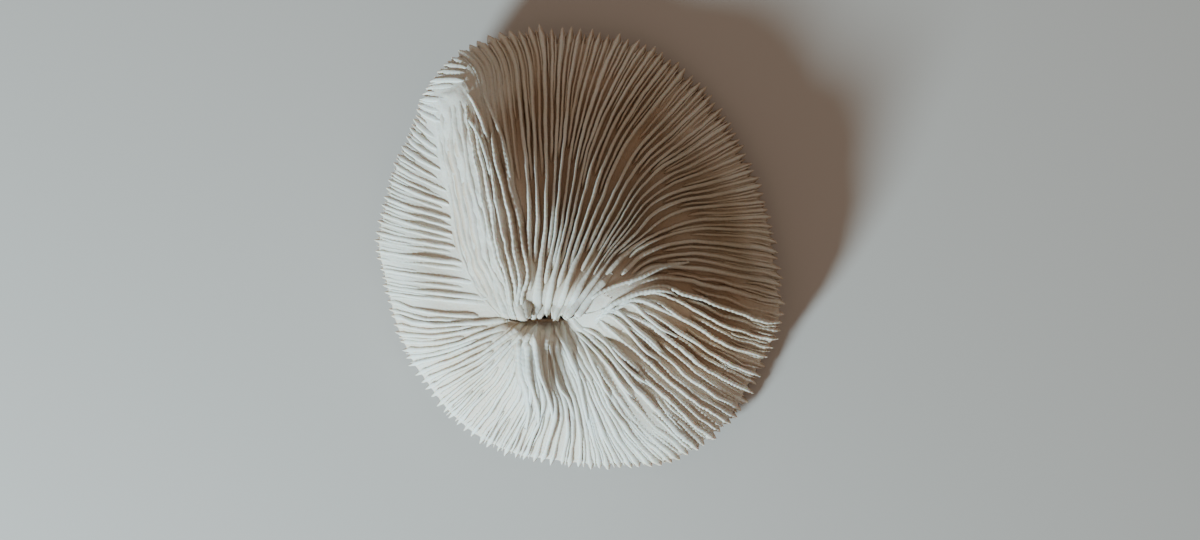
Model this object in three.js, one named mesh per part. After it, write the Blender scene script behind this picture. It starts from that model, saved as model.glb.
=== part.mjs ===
// Skeleton of a solitary mushroom coral, cut off flat where it grew.
// Millimetres, +Z up. Origin on the resting plane under the middle of the outline.
// The whole skeleton grew as one piece, so it is one closed solid: a domed plate whose
// upper side carries radial fins (septa) running from a slit-like mouth to a toothed rim.
import * as THREE from "three";

// ---- driving dimensions (mm) ----
const SEPTA = 144;               // radial fins that reach the rim
const FIRST_ORDER_STEP = 4;      // every 4th fin starts at the mouth
const SECOND_ORDER_STEP = 2;     // every 2nd fin starts close to it
const SECOND_ORDER_START = 0.07; // fraction of the way to the rim
const THIRD_ORDER_START = 0.37;
const GAP_DEPTH_MIDDLE = 3.3;    // fin crest down to the gap floor, half way out
const GAP_DEPTH_MOUTH = 1.7;
const GAP_DEPTH_RIM = 1.8;
const TOOTH_LENGTH = 2.9;        // how far fin tips stand out beyond the gaps at the rim
const TOOTH_DROP = 1.1;          // fin tips sit this much lower than the fin crest
const RIM_THICKNESS = 2.5;
const MIN_RIM_UNDERSIDE = 0.35;  // lowest the underside of the rim comes to the resting plane
const CUT_FACE_FRACTION = 0.5;   // flat cut face, as a fraction of the outline
const UNDERSIDE_CURVE = 1.7;     // how the underside sweeps up from the cut face to the rim
const MOUTH_FLOOR = 25.0;        // height of the bottom of the mouth slit
const CREST_VARIATION = 0.35;    // natural unevenness of fin height
const SCALE = 1.0;

// Heights of the fin crests: [x, y, z].
const RELIEF = [
  [51.7, -0.5, 9], [50.9, 8.4, 8], [48.7, 17.1, 8], [44.9, 25.2, 8], [39.6, 32.4, 8],
  [33.8, 39.4, 8], [27.1, 45.8, 8], [20.2, 53.8, 8], [10.4, 56.4, 8.5], [0.4, 57.5, 9],
  [-10.1, 59.3, 10], [-20.4, 56.8, 12], [-32.9, 49, 18], [-36.9, 44, 18], [-40.7, 39.2, 16],
  [-47.1, 27, 10], [-50.3, 18, 8], [-52.6, 8.9, 7.5], [-54.2, -0.4, 7], [-51.8, -9.6, 6.5],
  [-50.4, -18.9, 6], [-46.4, -27.4, 6], [-42.1, -36.1, 6], [-36.5, -44.4, 6], [-28.8, -51, 6],
  [-19.8, -55.8, 6], [-9.7, -57.6, 6.5], [0.4, -58.3, 7], [10.6, -58.3, 7], [21.4, -58.1, 7.5],
  [31.7, -54.7, 8], [40, -47.6, 7.5], [44.1, -37.2, 7.5], [49.4, -28.7, 9], [53.5, -19.8, 13],
  [53.4, -9.9, 11.5], [-27.8, 48, 20.5], [-27.7, 41.5, 24], [-27.8, 34.8, 26], [-26.7, 26.9, 28.5],
  [-25.2, 19.2, 31], [-23.5, 11.5, 33.5], [-21.3, 3.5, 35.5], [-19.2, -3.9, 37], [-17.3, -10.3, 36],
  [-38, 34.6, 18], [-36.9, 25.4, 18.5], [-35, 17.5, 19.5], [-33.3, 10.2, 20.5], [-32.3, 1.9, 22],
  [-30, -5.3, 24.5], [-25.5, -11.4, 28], [-21.3, -15.4, 30], [-45.8, 21.9, 13.5],
  [-47.1, 12.7, 13.5], [-47.7, 2.1, 13.5], [-46.6, -8.5, 13.5], [-41.2, -3.8, 17.5],
  [-39.9, 7.2, 18], [-40.8, 17.7, 17], [-38.3, -13.6, 19.5], [-12.5, -9.5, 37.5], [-8.9, -5.8, 38],
  [-4, -7.1, 38], [2.1, -8.3, 37], [-13.8, 4, 36.5], [-16.5, 16.5, 33.5], [-19.4, 29.4, 28.5],
  [-21.2, 40.4, 22.5], [-20.4, 49.1, 17], [-18, -17.4, 30], [-13.3, -19.6, 25], [-8.3, -20.2, 24],
  [-3.1, -20.6, 25], [2, -20.5, 28], [-14.1, -15.3, 33], [-7.8, -14.3, 33.5], [-0.4, -16.3, 33.5],
  [-7.7, 6.4, 36.5], [0.9, 4, 36], [8.3, -0.9, 35], [15.7, -3.9, 34], [-4.2, 19.1, 31.5],
  [5.8, 19.2, 30.5], [15.8, 14.3, 29.5], [26.1, 6.8, 27], [-4.5, 35.4, 21.5], [5.8, 35.5, 21],
  [16.2, 33, 20], [26.6, 25.4, 19], [37.1, 15, 18], [42.3, -0.6, 18.5], [31.1, -2, 27],
  [5.8, -13.7, 36], [13.2, -11.5, 36.5], [19.3, -11, 36], [28.2, -13.3, 32], [37.6, -15.5, 26],
  [46, -17.2, 20], [10.8, -19.5, 32], [18.4, -20.9, 29.5], [28.8, -25, 24.5], [39.7, -28, 18],
  [8.3, -25.9, 30], [16, -31.3, 26], [26.7, -39.8, 18], [16.2, -45, 18], [23, -50.8, 13.5],
  [5.8, -33.7, 27], [8.4, -44.8, 19.5], [-13.8, -22.7, 29.6], [-11.7, -29.9, 30.6],
  [-11.3, -35, 29.2], [-7.4, -36.8, 27], [-0.5, -30.2, 27.2], [1.5, -36.5, 24.5],
  [-0.4, -42.2, 19.5], [-4.7, -46.3, 17.5], [-12.4, -44.9, 18.5], [-10, -22.4, 30.2],
  [-11.5, -25.9, 30.8], [-6.6, -23.5, 28.2], [-6.3, -27.3, 27.9], [-5.1, -31.7, 26.8],
  [-3.6, -37, 24.8], [-2.3, -26, 28.2], [-9, -31.9, 29.8], [-10.5, -39.5, 25.5],
  [-16.4, -26.5, 28.6], [-16.5, -32.7, 27], [-19.5, -26.1, 27], [-24.7, -21.1, 26.5],
  [-32.8, -21.3, 22.5], [-41.5, -21.6, 16], [-25.2, -31.6, 21.5], [-33.5, -32, 17],
  [-20.2, -39.7, 18.5], [-28.5, -40.1, 14.5], [-20.8, -48.4, 12],
];

// Courses of the fins in plan, one every fifth of 24 turns round the mouth: nine x, y
// pairs each, from the mouth to the tip at the rim.
const COURSES = [
  [6, -11.3, 11.3, -6.9, 16.1, -2.4, 22.1, 0.2, 28.4, 1.5, 34.9, 1.4, 41.5, 0.9, 48, 0.4, 54.3, -1.1],
  [5, -11, 10.4, -5.9, 15.1, -1, 21, 1.9, 27.3, 3.9, 33.9, 4.6, 40.5, 4.5, 47.1, 4.3, 53.6, 3.6],
  [3, -12.2, 7, -7.7, 11, -2.8, 16.9, 1.5, 23.6, 4.7, 30.6, 7, 38, 7.4, 45.3, 7.9, 52.8, 8.5],
  [1.9, -12.7, 5.8, -7.8, 9.8, -2.6, 15.7, 2.3, 21.7, 6.9, 28.6, 9.8, 36.1, 10.7, 43.7, 11.8, 51.3, 12.8],
  [1.1, -13.1, 5, -7.8, 9.2, -2.2, 14.7, 3.3, 20, 8.8, 26.9, 12, 34.6, 13.3, 42.2, 15.1, 49.8, 17.3],
  [0.4, -13.4, 4.3, -7.6, 8.4, -1.7, 13.5, 4.4, 18.5, 10.4, 25.3, 14.3, 33, 16.3, 40.6, 18.8, 48.2, 21.6],
  [-0.1, -13.7, 3.7, -7.7, 7.9, -1.4, 12.7, 4.9, 17.6, 11.3, 24.2, 15.8, 31.6, 18.9, 39, 22.2, 46.3, 25.9],
  [-0.7, -14, 3.1, -7.7, 7.2, -0.9, 11.8, 5.8, 16.5, 12.6, 22.8, 17.8, 30.1, 21.7, 37.3, 25.9, 44.4, 30.2],
  [-1.3, -14.3, 2.4, -7.6, 6.6, -0.4, 11.1, 6.8, 15.5, 14, 21.4, 20, 28.5, 24.7, 35.4, 29.7, 42.4, 34.6],
  [-1.9, -14.5, 1.7, -7.3, 5.8, 0.1, 10.2, 7.5, 14.4, 15, 19.9, 21.6, 26.6, 27, 33, 32.7, 39.5, 38.4],
  [-2.8, -14.6, 0.6, -7.1, 4.6, 0.7, 8.7, 8.4, 12.7, 16.3, 17.7, 23.5, 24, 29.7, 30.2, 36, 36.4, 42.2],
  [-3.5, -14.6, -0.2, -6.7, 3.6, 1.3, 7.4, 9.5, 11.1, 17.7, 15.5, 25.5, 21.4, 32.3, 27.2, 39.2, 33.2, 46],
  [-4.2, -14.6, -1.1, -6.4, 2.4, 2, 5.8, 10.5, 9.1, 19, 13.1, 27.2, 18.4, 34.6, 23.9, 42, 29.4, 49.3],
  [-5, -14.6, -2.2, -6.1, 0.8, 2.7, 3.8, 11.5, 6.6, 20.3, 10.2, 28.9, 14.8, 37, 19.9, 44.7, 25.4, 52.2],
  [-5.8, -14.6, -3.2, -5.9, -0.7, 3.1, 1.7, 12.2, 4, 21.3, 7.2, 30.2, 11.2, 38.7, 15.8, 46.9, 21, 54.7],
  [-6.5, -14.7, -4.2, -5.8, -1.9, 3.4, 0, 12.7, 1.8, 22, 4.4, 31.1, 7.8, 39.9, 11.7, 48.6, 16.3, 56.8],
  [-7.2, -14.7, -5.1, -5.6, -2.9, 3.6, -1.3, 12.9, 0.1, 22.3, 2.1, 31.5, 4.7, 40.6, 7.8, 49.5, 11.2, 58.3],
  [-7.9, -14.6, -5.9, -5.5, -3.9, 3.8, -2.7, 13.2, -1.8, 22.6, -0.4, 31.9, 1.3, 41.2, 3.6, 50.4, 6, 59.5],
  [-8.5, -14.6, -6.8, -5.4, -5.1, 4, -4.2, 13.4, -3.6, 22.8, -2.8, 32.2, -2.1, 41.6, -0.8, 51, 0.8, 60.3],
  [-9.2, -14.6, -7.8, -5.4, -6.3, 3.9, -5.7, 13.3, -5.5, 22.7, -5.4, 32.1, -5.3, 41.6, -5.1, 51, -4.6, 60.3],
  [-9.9, -14.6, -8.8, -5.3, -7.6, 4, -7.4, 13.3, -7.6, 22.7, -8, 32.2, -8.4, 41.6, -8.9, 51, -10.3, 60.3],
  [-10.7, -14.4, -10.1, -5.1, -9.5, 4.1, -9.6, 13.3, -10.2, 22.6, -11, 31.9, -11.9, 41.3, -13, 50.7, -16, 59.6],
  [-11.5, -14.1, -11.6, -5, -11.7, 4.1, -12.2, 13.1, -13.2, 22.2, -14.5, 31.2, -15.7, 40.3, -17.3, 49.6, -21.3, 57.9],
  [-12.3, -13.7, -13.2, -4.9, -14.2, 3.9, -15.2, 12.7, -16.5, 21.4, -18.2, 30.2, -19.8, 39, -21.5, 48, -26.5, 55.4],
  [-13.3, -13.5, -14.9, -4.9, -16.3, 3.4, -17.7, 11.9, -19.4, 20.3, -21.4, 28.7, -23.4, 37.4, -25.5, 46.1, -31.2, 52.2],
  [-14.3, -13.3, -16.5, -5.3, -18.4, 2.8, -20.1, 10.9, -22, 19.1, -24, 27.2, -26.1, 35.6, -28.6, 44.1, -35.4, 48],
  [-15.6, -13.2, -18.4, -5.7, -20.9, 1.8, -23, 9.4, -25.2, 17.1, -27.2, 25, -29.2, 33.2, -31.8, 41.2, -38.9, 44.1],
  [-16.8, -13.2, -20.3, -6.3, -23.5, 0.6, -26.1, 7.6, -28.8, 14.5, -31.4, 21.5, -34.1, 28.7, -36.3, 36.1, -41.9, 39.7],
  [-17.9, -13.2, -22, -7, -25.6, -0.7, -28.5, 5.7, -31.2, 11.9, -33.8, 18.2, -36.3, 24.7, -39.3, 30.9, -42.9, 36.8],
  [-18.8, -13.3, -23.2, -7.5, -27, -1.9, -29.8, 3.9, -31.8, 9.4, -34.3, 15.2, -37.2, 21.2, -41, 27.1, -45.2, 32.2],
  [-19.5, -13.4, -24.1, -8.1, -27.9, -3.1, -30.3, 2.1, -32.1, 7.2, -35, 12.6, -38.7, 18.3, -42.8, 23.4, -47.6, 27.7],
  [-20.1, -13.5, -24.6, -8.9, -28.1, -4.4, -30.6, 0.3, -32.9, 5.2, -36.2, 10.2, -40.3, 15.1, -44.9, 19.9, -50.2, 23.2],
  [-20.6, -13.9, -24.3, -9.9, -27.9, -5.8, -30.9, -1.6, -33.8, 3, -37.6, 7.6, -41.9, 11.7, -46.6, 15.9, -52, 18.7],
  [-20.6, -14.5, -24, -10.8, -27.7, -7.2, -31.2, -3.5, -34.9, 0.5, -39.2, 4.2, -43.7, 7.7, -48.1, 11.5, -53, 14.3],
  [-20.6, -15.1, -24, -11.8, -27.7, -8.6, -31.5, -5.3, -35.6, -2, -40.2, 0.9, -44.9, 3.9, -49.5, 7.3, -54.4, 9.7],
  [-20.4, -15.7, -24, -12.7, -27.7, -10, -31.7, -7.2, -36.1, -4.6, -40.8, -2.3, -45.6, 0.3, -50.4, 3.1, -55.5, 4.6],
  [-20.2, -16.3, -24, -13.8, -27.8, -11.5, -31.9, -9.3, -36.2, -7.5, -40.7, -5.7, -45.5, -3.7, -50.7, -1.4, -55.7, -0.2],
  [-19.8, -16.8, -23.9, -14.9, -27.9, -13.2, -32, -11.7, -36.2, -10.4, -40.5, -8.9, -45, -7.2, -49.8, -5.6, -54.6, -5.4],
  [-19.3, -17.4, -23.7, -16.3, -27.8, -15.1, -32, -14.3, -36.2, -13.5, -40.4, -12.4, -44.6, -11.3, -49, -10, -53.5, -10],
  [-18.6, -17.9, -23.1, -17.7, -27.5, -17.3, -31.7, -17.2, -35.9, -16.9, -40, -16.4, -44.1, -15.7, -48.3, -14.5, -52.4, -14.1],
  [-17.7, -18.3, -22.2, -19, -26.5, -19.4, -30.8, -19.9, -35, -20.2, -39.2, -20.2, -43.3, -19.8, -47.5, -19, -51.5, -18.6],
  [-16.8, -18.7, -21.2, -19.9, -25.4, -20.9, -29.5, -21.9, -33.6, -22.7, -37.7, -23.2, -41.9, -23.4, -46.2, -23.2, -50.1, -23.1],
  [-15.6, -19, -19.7, -20.7, -23.8, -22.1, -27.7, -23.5, -31.7, -24.8, -35.8, -25.8, -40, -26.7, -44.3, -27.2, -48.6, -27.8],
  [-14.3, -19.1, -18.1, -21.3, -22, -23.2, -26, -24.9, -29.9, -26.6, -33.9, -28.3, -38.1, -29.7, -42.3, -31, -46.4, -32.5],
  [-13.1, -19.2, -16.6, -21.8, -20.3, -24.3, -23.9, -26.7, -27.7, -28.9, -31.6, -30.8, -35.7, -32.5, -39.6, -34.5, -43.4, -36.7],
  [-12.1, -19.2, -15.3, -22.3, -18.6, -25.4, -21.9, -28.4, -25.4, -31.1, -29.2, -33.5, -33, -35.8, -36.8, -38.3, -40.5, -40.8],
  [-11.4, -19.2, -14.5, -22.6, -17.7, -25.9, -20.6, -29.4, -23.7, -32.8, -27.2, -35.7, -30.6, -38.7, -33.9, -41.8, -37.3, -45],
  [-10.7, -19.3, -13.6, -23.2, -16.1, -27, -18.4, -31, -21.1, -34.8, -24.2, -38.2, -27.3, -41.6, -30.4, -45.1, -33.6, -48.4],
  [-10.1, -19.3, -12.7, -23.6, -14.7, -27.9, -16.2, -32.3, -18.4, -36.5, -21.1, -40.3, -23.8, -44.2, -26.7, -48, -29.5, -51.8],
  [-9.6, -19.2, -11.9, -23.8, -13.4, -28.5, -13.9, -33.2, -14.9, -37.9, -17.3, -42.1, -19.9, -46.1, -22.5, -50.2, -25, -54.3],
  [-9, -19.2, -11.1, -24, -11.9, -28.9, -11.7, -33.8, -11.9, -38.7, -13.6, -43.3, -15.9, -47.7, -18.1, -52.1, -20.2, -56.6],
  [-8.2, -19.2, -9.6, -24.3, -10, -29.3, -9.4, -34.3, -8.7, -39.2, -9.7, -44.1, -11.5, -48.9, -13.5, -53.5, -15.4, -58.2],
  [-7.1, -19.2, -7.9, -24.3, -8, -29.4, -7.3, -34.4, -5.9, -39.2, -6, -44.2, -7.2, -49.1, -8.7, -53.9, -10.2, -58.8],
  [-6.2, -19.2, -6.5, -24.3, -6.3, -29.4, -5.5, -34.4, -3.6, -39.2, -2.8, -44.2, -3.1, -49.3, -4, -54.4, -5, -59.4],
  [-5.3, -19.2, -5.3, -24.4, -4.2, -29.3, -2.6, -34.3, -0.9, -39.3, 0.1, -44.4, 0.6, -49.6, 0.6, -54.8, 0.3, -60],
  [-4.5, -19, -4.2, -24.3, -2.1, -29, 0.1, -34, 1.3, -39.2, 2.6, -44.4, 3.8, -49.7, 4.9, -54.9, 5.8, -60.2],
  [-3.8, -18.7, -3.2, -24.3, -0.7, -29.1, 1.7, -34.1, 3.3, -39.4, 5.2, -44.6, 7.2, -49.8, 9.3, -54.9, 11.5, -60.1],
  [-3.2, -18.5, -1.9, -24, 0.8, -29.1, 3.5, -34.2, 5.6, -39.6, 8.2, -44.7, 10.8, -49.8, 14, -54.5, 16.9, -59.5],
  [-2.6, -18.3, -0.6, -23.7, 2.4, -29.1, 5.4, -34.4, 8.1, -39.8, 11.3, -45, 14.6, -49.9, 18.6, -54.4, 22.7, -58.8],
  [-1.9, -18.1, 0.7, -23.1, 4.2, -28.3, 7.5, -33.6, 11, -38.9, 14.6, -44.1, 18.7, -48.9, 23.4, -53.1, 27.9, -57.4],
  [-1.1, -17.7, 2.1, -21.6, 6.5, -25.9, 10.6, -30.8, 14.9, -35.8, 19.1, -40.8, 23.5, -45.6, 28.1, -50.3, 32.5, -55.1],
  [0.3, -17, 3.7, -20.1, 8.2, -24.1, 12.9, -28.7, 17.5, -33.6, 22.3, -38.3, 27, -43, 31.8, -47.7, 37.2, -51.7],
  [2.7, -16.6, 7.4, -19.9, 12.3, -24.1, 16.8, -28.4, 21.5, -32.7, 26.1, -36.9, 31, -40.9, 36, -44.7, 41.3, -48.1],
  [5.1, -16, 11.2, -19.1, 16.8, -22.9, 21.4, -26.6, 25.8, -30.6, 30.2, -34.5, 35, -37.9, 40, -41.1, 44.9, -44.3],
  [6.2, -15.4, 12.6, -17, 18.4, -19.8, 23.2, -23.4, 28, -26.9, 32.7, -30.5, 37.6, -33.9, 42.7, -36.8, 47.8, -39.8],
  [6.9, -15.1, 13.3, -15.1, 19.4, -16.8, 24.4, -20, 29.3, -23.4, 34.2, -26.7, 39.3, -29.7, 44.6, -32.3, 50.1, -34.7],
  [7.5, -14.5, 13.8, -13.6, 20, -14, 25.2, -16.9, 30.2, -20.2, 35.3, -23.1, 40.7, -25.8, 46.2, -27.9, 52, -29.7],
  [8, -14, 14.1, -12.5, 20.3, -11.6, 25.8, -13.7, 31, -16.6, 36.4, -19.2, 42, -21.5, 47.7, -23.4, 53.6, -24.7],
  [8.4, -13.4, 14.2, -11.4, 20.3, -9.9, 26, -11.5, 31.7, -13.5, 37.4, -15.4, 43.2, -17.4, 49, -19, 55.1, -19.9],
  [8.4, -12.7, 14, -10.2, 19.8, -7.7, 25.8, -8.1, 31.8, -9.4, 37.8, -10.8, 43.7, -12.2, 49.6, -13.7, 55.5, -15.4],
  [7.5, -12.3, 12.5, -9.5, 17.5, -6.1, 23.7, -5, 30.1, -5.5, 36.5, -6.5, 42.8, -7.8, 49.1, -8.9, 55.3, -10.5],
  [6.7, -11.8, 11.8, -8.4, 16.6, -4.5, 22.7, -2.3, 29.1, -1.8, 35.6, -2.4, 42, -3.4, 48.5, -4.3, 54.9, -5.6],
];

// ---- smooth crest surface through the relief heights (thin plate) ----
function solveDense(a, b) {
  const n = b.length;
  for (let i = 0; i < n; i++) {
    let p = i;
    for (let r = i + 1; r < n; r++) if (Math.abs(a[r][i]) > Math.abs(a[p][i])) p = r;
    [a[i], a[p]] = [a[p], a[i]];
    [b[i], b[p]] = [b[p], b[i]];
    for (let r = i + 1; r < n; r++) {
      const f = a[r][i] / a[i][i];
      if (f === 0) continue;
      for (let c = i; c < n; c++) a[r][c] -= f * a[i][c];
      b[r] -= f * b[i];
    }
  }
  for (let i = n - 1; i >= 0; i--) {
    for (let c = i + 1; c < n; c++) b[i] -= a[i][c] * b[c];
    b[i] /= a[i][i];
  }
  return b;
}

const UNIT = 30;
const STIFFNESS = 0.002;
const kernel = (r2) => (r2 > 1e-12 ? 0.5 * r2 * Math.log(r2) : 0);

function fitRelief(points) {
  const n = points.length;
  const a = [];
  for (let i = 0; i < n + 3; i++) a.push(new Array(n + 3).fill(0));
  for (let i = 0; i < n; i++) {
    for (let j = 0; j < n; j++) {
      const dx = (points[i][0] - points[j][0]) / UNIT;
      const dy = (points[i][1] - points[j][1]) / UNIT;
      a[i][j] = kernel(dx * dx + dy * dy) + (i === j ? STIFFNESS : 0);
    }
    a[i][n] = a[n][i] = 1;
    a[i][n + 1] = a[n + 1][i] = points[i][0] / UNIT;
    a[i][n + 2] = a[n + 2][i] = points[i][1] / UNIT;
  }
  const w = solveDense(a, points.map((p) => p[2]).concat([0, 0, 0]));
  return (x, y) => {
    let z = w[n] + (w[n + 1] * x) / UNIT + (w[n + 2] * y) / UNIT;
    for (let i = 0; i < n; i++) {
      const dx = (x - points[i][0]) / UNIT;
      const dy = (y - points[i][1]) / UNIT;
      z += w[i] * kernel(dx * dx + dy * dy);
    }
    return z;
  };
}
const crestHeight = fitRelief(RELIEF);

// ---- plan position: q counts courses round the mouth, t runs from mouth to rim ----
function spline(p0, p1, p2, p3, f) {
  return 0.5 * (2 * p1 + (p2 - p0) * f + (2 * p0 - 5 * p1 + 4 * p2 - p3) * f * f
    + (3 * p1 - p0 - 3 * p2 + p3) * f * f * f);
}
function alongCourse(k, t) {
  const c = COURSES[((k % COURSES.length) + COURSES.length) % COURSES.length];
  const n = c.length / 2;
  const s = Math.min(Math.max(t, 0), 1) * (n - 1);
  const i = Math.min(Math.floor(s), n - 2);
  const f = s - i;
  const at = (j, o) => {
    if (j < 0) return 2 * c[o] - c[2 + o];
    if (j > n - 1) return 2 * c[2 * (n - 1) + o] - c[2 * (n - 2) + o];
    return c[2 * j + o];
  };
  return [0, 1].map((o) => spline(at(i - 1, o), at(i, o), at(i + 1, o), at(i + 2, o), f));
}
function plan(q, t) {
  const k = Math.floor(q);
  const f = q - k;
  const p = [-1, 0, 1, 2].map((d) => alongCourse(k + d, t));
  return [0, 1].map((o) => spline(p[0][o], p[1][o], p[2][o], p[3][o], f));
}

// repeatable unevenness, -1..1
function uneven(i, salt) {
  let h = (i * 374761393 + salt * 668265263) | 0;
  h = Math.imul(h ^ (h >>> 13), 1274126177);
  h ^= h >>> 16;
  return ((h >>> 0) / 4294967295) * 2 - 1;
}
const step = (a, b, x) => {
  const s = Math.min(Math.max((x - a) / (b - a), 0), 1);
  return s * s * (3 - 2 * s);
};

function gapDepth(t) {
  const inner = GAP_DEPTH_MOUTH + (GAP_DEPTH_MIDDLE - GAP_DEPTH_MOUTH) * step(0, 0.35, t);
  return inner + (GAP_DEPTH_RIM - inner) * step(0.72, 1, t);
}

// Upper side: rings of points, even ones on fin crests and odd ones in the gaps.
const RINGS = [
  { t: 0.0, fins: 36 }, { t: 0.06, fins: 36 },
  { t: 0.12, fins: 72 }, { t: 0.2, fins: 72 }, { t: 0.28, fins: 72 }, { t: 0.36, fins: 72 },
  { t: 0.43, fins: 144 }, { t: 0.5, fins: 144 }, { t: 0.57, fins: 144 }, { t: 0.64, fins: 144 },
  { t: 0.71, fins: 144 }, { t: 0.78, fins: 144 }, { t: 0.85, fins: 144 }, { t: 0.91, fins: 144 },
  { t: 0.96, fins: 144 }, { t: 1.0, fins: 144 },
];

function upperPoint(fin, t) {
  // fin: whole numbers are crests, anything between is the gap beside them
  const q = (fin * COURSES.length) / SEPTA;
  const onCrest = Math.abs(fin - Math.round(fin)) < 1e-6;
  const reach = onCrest
    ? t - 0.008 * (1 + uneven(Math.round(fin), 5)) * step(0.9, 1, t)
    : t - (TOOTH_LENGTH * (1 + 0.25 * uneven(Math.round(fin * 2), 9)) / 52) * step(0.8, 1, t);
  const [x, y] = plan(q, reach);
  let z = crestHeight(x, y);
  if (onCrest) {
    const f = ((Math.round(fin) % SEPTA) + SEPTA) % SEPTA;
    const start = f % FIRST_ORDER_STEP === 0 ? -1
      : f % SECOND_ORDER_STEP === 0 ? SECOND_ORDER_START : THIRD_ORDER_START;
    const grown = start < 0 ? 1 : step(start - 0.02, start + 0.14, t);
    z -= gapDepth(t) * (1 - grown) * 0.8;
    z += CREST_VARIATION * uneven(f, 3) * step(0, 0.2, t);
    z -= TOOTH_DROP * step(0.9, 1, t);
    z = Math.max(z, MIN_RIM_UNDERSIDE + 2.0);
  } else {
    z -= gapDepth(t);
    z = Math.max(z, MIN_RIM_UNDERSIDE + 1.1);
  }
  return [x, y, z];
}

function buildSkeleton() {
  const positions = [];
  const faces = [];
  const add = (x, y, z) => {
    positions.push(x, y, z);
    return positions.length / 3 - 1;
  };
  const stitch = (a, b, up) => {
    // a is the inner ring; b the outer one, with as many points or twice as many
    const put = (i, j, k) => faces.push(up ? [i, j, k] : [i, k, j]);
    const n = a.length;
    for (let i = 0; i < n; i++) {
      const i2 = (i + 1) % n;
      if (b.length === n) {
        if (i % 2 === 0) {
          put(a[i], b[i], b[i2]);
          put(a[i], b[i2], a[i2]);
        } else {
          put(a[i], b[i], a[i2]);
          put(b[i], b[i2], a[i2]);
        }
      } else {
        const j = 2 * i;
        const j2 = (j + 2) % b.length;
        put(a[i], b[j], b[j + 1]);
        put(a[i], b[j + 1], a[i2]);
        put(a[i2], b[j + 1], b[j2]);
      }
    }
  };

  // upper side
  const upper = RINGS.map(({ t, fins }) => {
    const ring = [];
    for (let i = 0; i < fins * 2; i++) {
      const p = upperPoint((i * SEPTA) / (fins * 2), t);
      // on coarser rings the odd points are gaps even where a later fin will start
      if (i % 2 === 1 && fins < SEPTA) {
        const [x, y] = plan((i * COURSES.length) / (fins * 2), t);
        p[0] = x;
        p[1] = y;
        p[2] = crestHeight(x, y) - gapDepth(t);
      }
      ring.push(add(p[0], p[1], p[2]));
    }
    return ring;
  });
  let mx = 0;
  let my = 0;
  upper[0].forEach((v) => {
    mx += positions[3 * v] / upper[0].length;
    my += positions[3 * v + 1] / upper[0].length;
  });
  const mouth = add(mx, my, MOUTH_FLOOR);
  upper[0].forEach((v, i) => faces.push([mouth, v, upper[0][(i + 1) % upper[0].length]]));
  for (let r = 0; r + 1 < upper.length; r++) stitch(upper[r], upper[r + 1], true);

  // lower side: scaled copies of the outline sweeping down to the flat cut face
  const rim = upper[upper.length - 1];
  const at = (v) => [positions[3 * v], positions[3 * v + 1], positions[3 * v + 2]];
  const underRim = rim.map((v) => {
    const [x, y, z] = at(v);
    return add(x * 0.985, y * 0.985, Math.max(MIN_RIM_UNDERSIDE, z - RIM_THICKNESS));
  });
  const tips = rim.filter((v, i) => i % 2 === 0).map(at);
  const smoothTips = tips.map((p, i) => {
    const s = [0, 0, 0];
    for (let d = -3; d <= 3; d++) {
      const o = tips[(i + d + tips.length) % tips.length];
      for (let c = 0; c < 3; c++) s[c] += o[c] / 7;
    }
    return s;
  });
  const lower = [0.25, CUT_FACE_FRACTION, 0.66, 0.82].map((s, level) => {
    const ring = [];
    const n = level === 0 ? SEPTA / 2 : SEPTA;
    for (let i = 0; i < n; i++) {
      const [x, y, z] = smoothTips[(i * SEPTA) / n];
      const edge = Math.max(MIN_RIM_UNDERSIDE, z - RIM_THICKNESS);
      const lift = s <= CUT_FACE_FRACTION ? 0
        : edge * Math.pow((s - CUT_FACE_FRACTION) / (1 - CUT_FACE_FRACTION), UNDERSIDE_CURVE);
      ring.push(add(x * s, y * s, lift));
    }
    return ring;
  });
  const under = add(0, 0, 0);
  lower[0].forEach((v, i) => faces.push([under, lower[0][(i + 1) % lower[0].length], v]));
  for (let r = 0; r + 1 < lower.length; r++) stitch(lower[r], lower[r + 1], false);
  stitch(lower[lower.length - 1], underRim, false);
  // rim edge
  stitch(rim, underRim, true);

  const geometry = new THREE.BufferGeometry();
  geometry.setAttribute("position", new THREE.Float32BufferAttribute(
    positions.map((v) => v * SCALE), 3));
  geometry.setIndex(faces.flat());
  return geometry.toNonIndexed();
}

const skeletonMaterial = new THREE.MeshStandardMaterial({
  name: "aragonite", color: 0xd9d2c4, roughness: 0.85, metalness: 0.0,
});

const skeleton = new THREE.Mesh(buildSkeleton(), skeletonMaterial);
skeleton.name = "coral_skeleton";
skeleton.geometry.computeVertexNormals();

const part = new THREE.Group();
part.name = "mushroom_coral";
part.add(skeleton);

export default part;
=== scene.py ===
"""Mushroom coral skeleton: visual model on the CAD frame. Metres, +Z up."""

import math

import bpy
import numpy as np
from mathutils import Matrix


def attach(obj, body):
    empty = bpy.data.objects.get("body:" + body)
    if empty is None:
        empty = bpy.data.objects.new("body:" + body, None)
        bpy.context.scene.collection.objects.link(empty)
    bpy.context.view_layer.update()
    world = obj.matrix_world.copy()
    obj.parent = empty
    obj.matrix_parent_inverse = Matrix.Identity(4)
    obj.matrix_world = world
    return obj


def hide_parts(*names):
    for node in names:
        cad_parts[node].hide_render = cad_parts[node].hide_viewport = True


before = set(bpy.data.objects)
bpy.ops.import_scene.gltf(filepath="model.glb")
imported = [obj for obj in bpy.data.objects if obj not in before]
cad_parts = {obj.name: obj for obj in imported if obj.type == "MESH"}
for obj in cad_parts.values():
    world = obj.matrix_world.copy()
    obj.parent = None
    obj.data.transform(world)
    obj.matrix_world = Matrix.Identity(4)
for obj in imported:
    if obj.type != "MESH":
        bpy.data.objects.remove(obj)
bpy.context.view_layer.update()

MM = 0.001
SEED = 4711

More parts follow.
